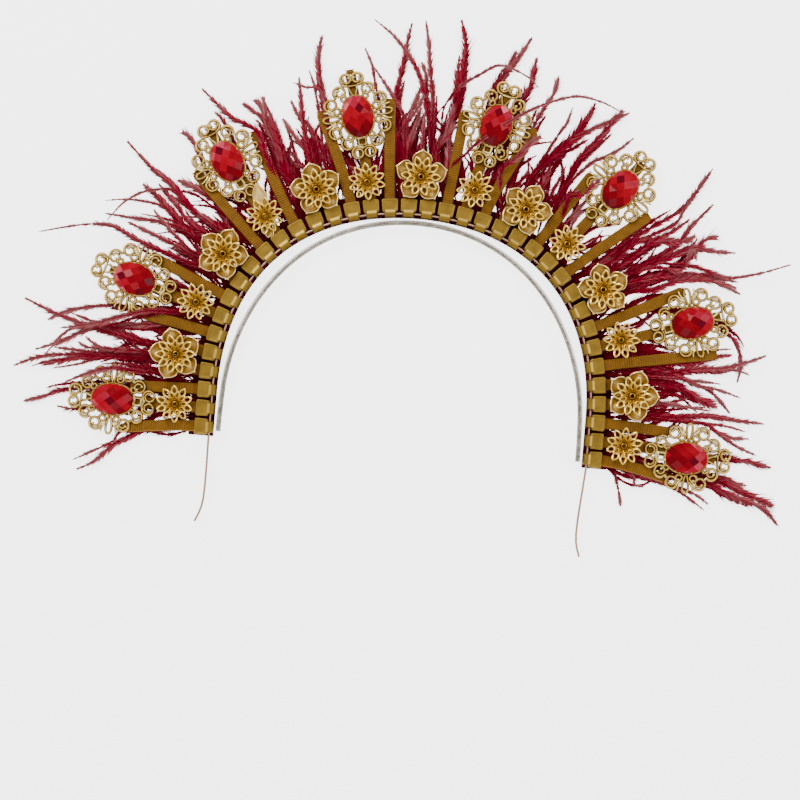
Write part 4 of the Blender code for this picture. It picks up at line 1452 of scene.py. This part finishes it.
# %% Chart the long flues
FLUES = table(
    "tie width lift pixels",
    (4.0, 6, 2, ((154, 346), (124, 337), (90, 326), (57, 314), (25, 298))),
    (6.0, 5, 2, ((177, 309), (124, 306), (106, 305), (70, 310), (48, 319))),
    (5.5, 5, 7, ((181, 313), (151, 311), (130, 315), (93, 324), (62, 328))),
    (5.0, 5, 2, ((188, 334), (171, 325), (151, 324), (97, 328), (62, 327))),
    (5.0, 5, 2, ((150, 326), (117, 324), (85, 330), (64, 340), (35, 349))),
    (5.0, 3, 3, ((150, 330), (85, 326), (64, 333), (45, 354))),
    (3.5, 5, 2, ((150, 356), (117, 353), (77, 354), (50, 355), (30, 359), (14, 365))),
    (3.5, 6, 3, ((150, 358), (90, 356), (64, 360), (43, 365))),
    (3.0, 3, 2, ((150, 358), (104, 358), (77, 364), (52, 368))),
    (4.0, 4, 2, ((150, 352), (104, 353), (77, 350), (54, 347))),
    (4.0, 4, 3, ((150, 350), (93, 348), (78, 342))),
    (3.5, 4, 4, ((150, 352), (104, 348), (86, 337))),
    (2.7, 5, 7, ((144, 372), (117, 368), (90, 373), (66, 382))),
    (1.5, 5, 1, ((150, 385), (68, 389), (43, 396), (23, 401))),
    (1.0, 4, 1, ((150, 404), (80, 408), (70, 409), (57, 406))),
    (0.5, 3, 1, ((160, 425), (122, 431), (112, 441), (94, 450), (71, 460))),
    (0.3, 6, 2, ((170, 428), (143, 430), (124, 439), (109, 448), (94, 461), (77, 469))),
    (8.0, 4, 7, ((181, 259), (156, 249), (130, 236), (111, 226), (83, 225), (40, 232))),
    (8.0, 5, 6, ((188, 262), (136, 239), (117, 227), (102, 223))),
    (8.5, 5, 2, ((200, 259), (175, 245), (149, 232), (128, 222))),
    (9.0, 5, 2, ((200, 241), (188, 231), (162, 222), (130, 217), (105, 213))),
    (10.0, 3, 4, ((213, 207), (194, 194), (175, 190), (162, 189), (143, 192), (124, 202), (107, 220))),
    (9.5, 3, 2, ((194, 231), (175, 215), (157, 204), (130, 199), (105, 200))),
    (8.7, 4, 3, ((198, 254), (181, 241), (162, 221), (154, 210))),
    (9.5, 6, 2, ((194, 236), (175, 217), (156, 195), (143, 184))),
    (10.0, 5, 3, ((200, 231), (175, 203), (159, 184))),
    (10.0, 6, 5, ((204, 218), (188, 206), (170, 184), (152, 168), (128, 142))),
    (10.7, 6, 2, ((213, 199), (194, 187), (178, 180))),
    (10.0, 5, 3, ((223, 231), (200, 215), (171, 195))),
    (10.5, 5, 1, ((230, 220), (196, 147), (182, 131))),
    (12.5, 6, 7, ((282, 187), (266, 155), (259, 134), (246, 125), (233, 119), (219, 106), (203, 90))),
    (11.5, 4, 1, ((248, 170), (224, 122), (214, 111))),
    (12.7, 5, 2, ((278, 160), (264, 122), (255, 112), (243, 103))),
    (13.0, 5, 3, ((284, 160), (262, 110), (255, 99))),
    (13.0, 4, 4, ((286, 165), (268, 128), (265, 111), (263, 97))),
    (13.0, 7, 6, ((286, 171), (283, 156), (277, 133), (270, 113))),
    (14.0, 5, 3, ((320, 185), (309, 155), (294, 135), (283, 119))),
    (14.3, 5, 2, ((324, 180), (315, 138), (309, 125), (298, 115), (291, 100))),
    (14.0, 5, 4, ((318, 180), (309, 149), (304, 128), (301, 100), (299, 78))),
    (15.0, 3, 5, ((330, 160), (327, 110), (319, 90), (305, 87), (294, 83))),
    (14.5, 3, 3, ((326, 170), (320, 120), (316, 95), (314, 84), (309, 70))),
    (15.0, 6, 4, ((334, 170), (328, 130), (324, 100), (320, 79), (318, 57), (322, 36))),
    (17.0, 3, 1, ((388, 150), (375, 81), (372, 64), (365, 47))),
    (18.0, 4, 3, ((408, 159), (406, 125), (403, 113), (396, 101), (385, 83), (374, 67))),
    (19.0, 5, 5, ((431, 136), (428, 113), (425, 96), (419, 74), (408, 54), (393, 35), (375, 20))),
    (17.0, 6, 2, ((396, 159), (396, 102), (400, 79), (405, 56), (408, 39), (412, 23))),
    (19.0, 5, 3, ((431, 148), (432, 125), (433, 96), (430, 67), (429, 44), (426, 21))),
    (20.0, 8, 2, ((445, 142), (456, 113), (461, 90), (464, 67), (466, 44), (462, 20))),
    (19.7, 3, 6, ((442, 119), (451, 97), (463, 85), (480, 75), (501, 66), (527, 77), (538, 88))),
    (19.0, 4, 2, ((430, 140), (427, 90), (426, 74), (422, 62))),
    (17.8, 5, 4, ((405, 154), (405, 131), (410, 116), (416, 100), (424, 80))),
    (17.2, 5, 5, ((397, 142), (401, 132), (408, 120), (417, 110), (424, 95))),
    (18.0, 5, 3, ((408, 159), (410, 142), (416, 125), (421, 108))),
    (18.5, 3, 5, ((422, 151), (425, 111))),
    (19.8, 5, 4, ((436, 154), (445, 136), (451, 119), (453, 105))),
    (20.0, 5, 5, ((437, 157), (445, 139), (454, 125))),
    (20.0, 5, 3, ((448, 171), (449, 136))),
    (20.5, 3, 9, ((450, 171), (465, 155), (477, 144), (504, 126), (538, 108), (574, 98),
        (600, 103), (618, 112))),
    (21.5, 6, 1, ((480, 150), (495, 89), (502, 79), (509, 66), (517, 50))),
    (21.5, 5, 1, ((485, 150), (502, 81), (511, 69), (523, 51), (532, 37))),
    (22.0, 7, 2, ((505, 150), (524, 99), (531, 87), (534, 72), (537, 58))),
    (23.0, 5, 2, ((515, 170), (534, 126), (543, 110), (554, 93), (559, 76))),
    (23.5, 3, 3, ((530, 180), (557, 137), (567, 123), (573, 107))),
    (23.0, 5, 8, ((500, 175), (515, 160), (532, 143), (540, 138))),
    (24.0, 8, 4, ((533, 176), (558, 151), (575, 135), (584, 123), (591, 113), (595, 104))),
    (24.3, 5, 3, ((552, 162), (575, 141), (591, 130), (609, 122), (629, 113))),
    (25.0, 6, 3, ((571, 172), (581, 156), (602, 135), (614, 121), (623, 110))),
    (25.5, 4, 2, ((556, 201), (571, 182), (584, 169), (596, 160), (608, 156), (620, 149), (634, 138))),
    (26.0, 5, 8, ((567, 202), (581, 197), (593, 186), (600, 180))),
    (26.5, 4, 2, ((562, 229), (578, 210), (591, 195))),
    (26.8, 4, 2, ((571, 228), (582, 211))),
    (27.5, 5, 2, ((620, 249), (631, 240), (654, 226), (677, 213), (689, 202), (701, 186), (713, 169))),
    (28.0, 4, 3, ((622, 252), (650, 236), (675, 224), (684, 211), (691, 201))),
    (28.5, 5, 3, ((643, 265), (666, 253), (680, 242), (689, 229), (700, 218), (713, 205))),
    (28.0, 6, 4, ((620, 265), (649, 244), (672, 232), (689, 220))),
    (28.0, 6, 3, ((620, 255), (637, 242), (672, 242), (689, 240), (695, 236))),
    (29.0, 6, 2, ((640, 285), (680, 267), (699, 247), (706, 240), (719, 236))),
    (28.8, 5, 4, ((631, 271), (666, 259), (689, 249), (700, 248), (718, 252), (735, 253))),
    (29.0, 4, 5, ((649, 267), (672, 264), (695, 267), (712, 273), (729, 278), (758, 274), (790, 265))),
    (29.5, 5, 3, ((620, 287), (649, 278), (677, 274), (706, 275), (723, 279), (738, 282))),
    (29.6, 4, 2, ((640, 284), (700, 278), (723, 283), (737, 288))),
    (29.8, 5, 4, ((626, 294), (654, 290), (677, 281), (700, 280), (718, 283), (740, 294))),
    (28.2, 4, 6, ((650, 268), (680, 271), (691, 251), (696, 260))),
    (30.5, 5, 2, ((640, 312), (700, 318), (724, 331), (738, 345), (741, 366), (738, 382))),
    (32.0, 5, 3, ((648, 376), (676, 372), (697, 369), (725, 368), (746, 363), (766, 356))),
    (32.0, 3, 2, ((650, 374), (697, 369), (718, 369), (739, 371), (750, 375))),
    (31.5, 8, 2, ((640, 362), (690, 363), (711, 358), (732, 355))),
    (31.3, 3, 3, ((640, 358), (690, 354), (718, 350), (732, 349))),
    (32.2, 3, 4, ((641, 376), (669, 378), (697, 381), (720, 384))),
    (32.0, 3, 5, ((662, 372), (676, 376), (697, 385), (718, 390), (740, 398))),
    (32.0, 4, 3, ((650, 370), (676, 375), (693, 384), (710, 391), (722, 403), (730, 413))),
    (32.5, 9, 2, ((655, 382), (679, 387), (697, 398), (717, 407))),
    (33.3, 4, 2, ((648, 404), (662, 403), (710, 411))),
    (34.0, 5, 3, ((648, 415), (683, 417), (711, 417), (739, 421), (764, 424))),
    (34.3, 3, 2, ((660, 420), (711, 424), (729, 427), (746, 432))),
    (34.0, 4, 4, ((655, 418), (704, 424), (718, 432), (732, 438), (748, 439))),
    (34.3, 4, 6, ((697, 422), (711, 429), (725, 439), (739, 448), (755, 455))),
    (35.5, 6, 1, ((660, 450), (732, 459), (753, 463), (771, 468))),
    (36.0, 5, 1, ((660, 465), (721, 477), (735, 483), (747, 486))),
    (36.3, 8, 1, ((650, 465), (715, 480), (732, 487), (753, 497), (774, 506))),
    (36.5, 6, 2, ((650, 470), (707, 483), (725, 492), (746, 501), (764, 509), (778, 525))),
    (36.8, 3, 2, ((640, 476), (673, 488), (690, 499), (704, 510))),
    (36.8, 3, 3, ((640, 474), (690, 492), (708, 504))),
    (37.0, 3, 2, ((622, 470), (633, 476), (635, 484), (643, 487))),
    (37.2, 3, 1, ((614, 468), (616, 476), (618, 486), (620, 496), (621, 506))),
)
FLUE_ROOT = RIBBON_OUTSIDE - 1.8 * MM
ROOT_HEIGHT = RIBBON_THICKNESS + 0.25 * MM
PATH_STEPS = 6


def lifted(flat, lift):
    """The path with its height rising to the lift and settling again a little towards the tip."""
    path = []
    for number, point in enumerate(flat):
        share = number / (len(flat) - 1)
        rise = sin(pi * min(share * 1.25, 1.0) * 0.62)
        path.append(Vector((point.x, point.y, ROOT_HEIGHT + lift * MM * rise)))
    return path


def charted_path(flue):
    root = point_at(tie_place(flue.tie), 0, FLUE_ROOT, ROOT_HEIGHT)
    passed = [photo_point(column, row) for column, row in flue.pixels]
    return lifted(smooth_path([root] + passed, PATH_STEPS), flue.lift)


print("charted flues:", len(FLUES))

# %% [markdown]
# ## The short flues between them
# Behind the long flues a seeded draw fills the ribbon's edge with short ones, longest in the spaces between
# the ornaments. Each wide charted flue also gets two shorter companions a little to its side, because
# real flues come in bunches. Charting these by hand would take long and show nothing more.

# %% Draw the short flues and the companions
FLUE_SEED = 5
FLUE_OVERRUN = 3.0 * MM
SHORT_FLUES = 470
SHORT_REACH = (12, 36)
SHORT_WIDTH = (1.6, 3.4)
SHORT_LIFT = (0.0, 1.6)
SHORT_SWAY = 0.16
SHORT_BEND = 0.12
GROUP_SPAN = TIE_PITCH * GROUP_STEP
COMPANIONS = 2
COMPANION_SPREAD = 2.4 * MM


def drawn_flue(draw):
    """A short flue from a random root, bent towards the middle between two ornaments."""
    distance = draw.uniform(-LAST_TIE - FLUE_OVERRUN, LAST_TIE + FLUE_OVERRUN)
    place = hoop_place(distance)
    aside = ((distance + GROUP_SPAN / 2) % GROUP_SPAN - GROUP_SPAN / 2) / GROUP_SPAN
    reach = draw.uniform(*SHORT_REACH) * (1.25 - 0.8 * abs(aside)) * MM
    lean = -0.5 * aside * reach + draw.gauss(0, SHORT_SWAY) * reach
    bend = draw.gauss(0, SHORT_BEND) * reach
    flat = [
        point_at(place, 0, FLUE_ROOT),
        point_at(place, lean * 0.25 + bend, FLUE_ROOT + reach * 0.4),
        point_at(place, lean * 0.6 + bend, FLUE_ROOT + reach * 0.75),
        point_at(place, lean, FLUE_ROOT + reach),
    ]
    return lifted(smooth_path(flat, PATH_STEPS), draw.uniform(*SHORT_LIFT))


def companion(path, draw):
    """A shorter flue that keeps a charted one company, a little to its side."""
    count = max(int(len(path) * draw.uniform(0.4, 0.85)), 4)
    aside = draw.uniform(-1, 1) * COMPANION_SPREAD
    lower = draw.uniform(0.2, 0.9)
    shorter = []
    for number, point in enumerate(path[:count]):
        step = run_of(path, number).cross(UP).normalized() * aside * (0.3 + number / count)
        height = ROOT_HEIGHT + (point.z - ROOT_HEIGHT) * lower
        shorter.append(Vector((point.x + step.x, point.y + step.y, height)))
    return shorter


print("short flues:", SHORT_FLUES)

# %% [markdown]
# ## Barbs for the flues
# A third tree combs every stem with barbs on both sides that lean forward and whose length goes in clumps,
# which is what makes the edges look serrated. Each point of a stem stores half the comb's width and a
# shade, which the tree and the finish read. Hair curves would look as soft, but aren't a mesh to export.

# %% Comb the flues with barbs
BARB_PITCH = 0.45 * MM
BARB_WIDTH = 0.52 * MM
BARB_LEAN = radians(26)
BARB_RISE = 0.01
BARB_LENGTHS = (0.65, 1.15)
BARB_MOTTLE = 0.26
STEM_RADIUS = 0.33 * MM
STEM_SHADE = 0.38
STEM_RISE = 0.22 * MM
CLUMP_SCALE = 620.0


def comb_tree():
    """Barbs on both sides of every stem, leaning forward, with their length in clumps, and the stem."""
    tree = Repeater("combed_flues", pitch="Float", thickness="Float", stem="Float", finish="Material")
    line, spots, along = tree.spaced()
    cone = {"Vertices": 3, "Radius Top": 0.0, "Radius Bottom": 0.5, "Depth": 1.0}
    barb = tree.node("GeometryNodeMeshCone", cone)
    aside = tree.vector("CROSS_PRODUCT", along, tuple(UP))
    size = tree.node("GeometryNodeInputNamedAttribute", {"Name": "half_width"}, data_type="FLOAT")
    shade = tree.node("GeometryNodeInputNamedAttribute", {"Name": "shade"}, data_type="FLOAT")
    clump = tree.node("ShaderNodeTexNoise", {"Scale": CLUMP_SCALE, "Detail": 1.0})

    def drawn(low, high, seed):
        return tree.node("FunctionNodeRandomValue", {2: low, 3: high, "Seed": seed}, 1, data_type="FLOAT")

    def toned(geometry, tone):
        values = {"Geometry": geometry, "Name": "shade", "Value": tone}
        return tree.node("GeometryNodeStoreNamedAttribute", values, data_type="FLOAT")

    sides = []
    for side in (-1, 1):
        outwards = tree.vector("MULTIPLY", aside, (side * sin(BARB_LEAN),) * 3)
        forwards = tree.vector("MULTIPLY", along, (cos(BARB_LEAN),) * 3)
        tilted = tree.vector("ADD", tree.vector("ADD", outwards, forwards), (0.0, 0.0, BARB_RISE))
        turned = tree.node("FunctionNodeAlignRotationToVector", {"Vector": tilted}, axis="Z")
        length = size / sin(BARB_LEAN) * drawn(*BARB_LENGTHS, side + 1) * (0.05 + 1.9 * clump)
        sizes = {"X": tree.given("thickness"), "Y": tree.given("thickness"), "Z": length}
        tone = shade + drawn(-BARB_MOTTLE, BARB_MOTTLE, side + 5)
        sides.append(tree.copies(toned(spots, tone), barb, turned, tree.node("ShaderNodeCombineXYZ", sizes)))
    ring = tree.node("GeometryNodeCurvePrimitiveCircle", {"Resolution": 3, "Radius": 1.0})
    raised = {"Geometry": toned(line, shade * STEM_SHADE), "Offset": (0.0, 0.0, STEM_RISE)}
    stem = tree.node("GeometryNodeSetPosition", raised)
    taper = 1.15 - tree.node("GeometryNodeSplineParameter")
    sweep = {"Curve": stem, "Profile Curve": ring, "Scale": tree.given("stem") * taper, "Fill Caps": True}
    return tree.ends_in(*sides, tree.node("GeometryNodeCurveToMesh", sweep))


COMB = comb_tree()
print("barbs ready, one every", BARB_PITCH / MM, "mm")

# %% [markdown]
# ## Laying the fringe
# Light shows through a single flue but not through a wide bundle, so a flue's colour is painted darker the
# wider it is, and paler towards its tip. All flues are sorted by their way round the arch and shared out
# to six pieces, because one mesh would be heavy to handle.

# %% Comb and lay the flues
FLUE_PIECES = 6
COMB_GAIN = 1.75
LONELY_WIDTH = 4
BUNDLE_DARKNESS = 0.075


def combed(path, width, blunt, shade):
    """A flue as its path, and half the comb's width and the shade at each of its points; the shade rises
    towards the tip as painted light showing through.
    """
    shares = [number / (len(path) - 1) for number in range(len(path))]
    rises = [min(0.35 + share * 2.0, 1.0) for share in shares]
    falls = [min((1 - share) / blunt + 0.2, 1.0) for share in shares]
    widths = [width / 2 * rise * fall for rise, fall in zip(rises, falls)]
    return path, widths, [shade * (0.35 + 0.75 * n / (len(path) - 1)) for n in range(len(path))]


def combed_flues():
    draw = random.Random(FLUE_SEED)
    flues = []
    for flue in FLUES:
        path = charted_path(flue)
        width = flue.width * PHOTO_SCALE * COMB_GAIN
        # Painted light: the wider a flue, the darker its tone; companions and short flues get darker tones
        # still.
        tone = draw.uniform(1.2, 1.4) - BUNDLE_DARKNESS * flue.width
        flues.append(combed(path, width, draw.uniform(0.18, 0.45), tone))
        for _ in range(COMPANIONS if flue.width > LONELY_WIDTH else 0):
            flues.append(combed(companion(path, draw), width * 0.8, 0.4, draw.uniform(0.4, 0.8)))
    for _ in range(SHORT_FLUES):
        path, width = drawn_flue(draw), draw.uniform(*SHORT_WIDTH) * MM
        flues.append(combed(path, width, 0.45, draw.uniform(0.15, 0.8)))
    return sorted(flues, key=lambda flue: atan2(*(flue[0][0] - ARCH_CENTRE).xy))


flues = combed_flues()
share = ceil(len(flues) / FLUE_PIECES)
for number in range(FLUE_PIECES):
    paths, widths, shades = zip(*flues[number * share:(number + 1) * share])
    lines = store(edge_mesh(paths), "half_width", sum(widths, []))
    store(lines, "shade", sum(shades, []))
    fringe = COMB.run(lines, pitch=BARB_PITCH, thickness=BARB_WIDTH, stem=STEM_RADIUS, finish=FEATHER)
    add_piece(f"ostrich_flues_{number + 1}", fringe, FEATHER, "maroon_feather", "feather_fringe")
    print("flues", number + 1, "of", FLUE_PIECES, "with", len(fringe.polygons), "faces")
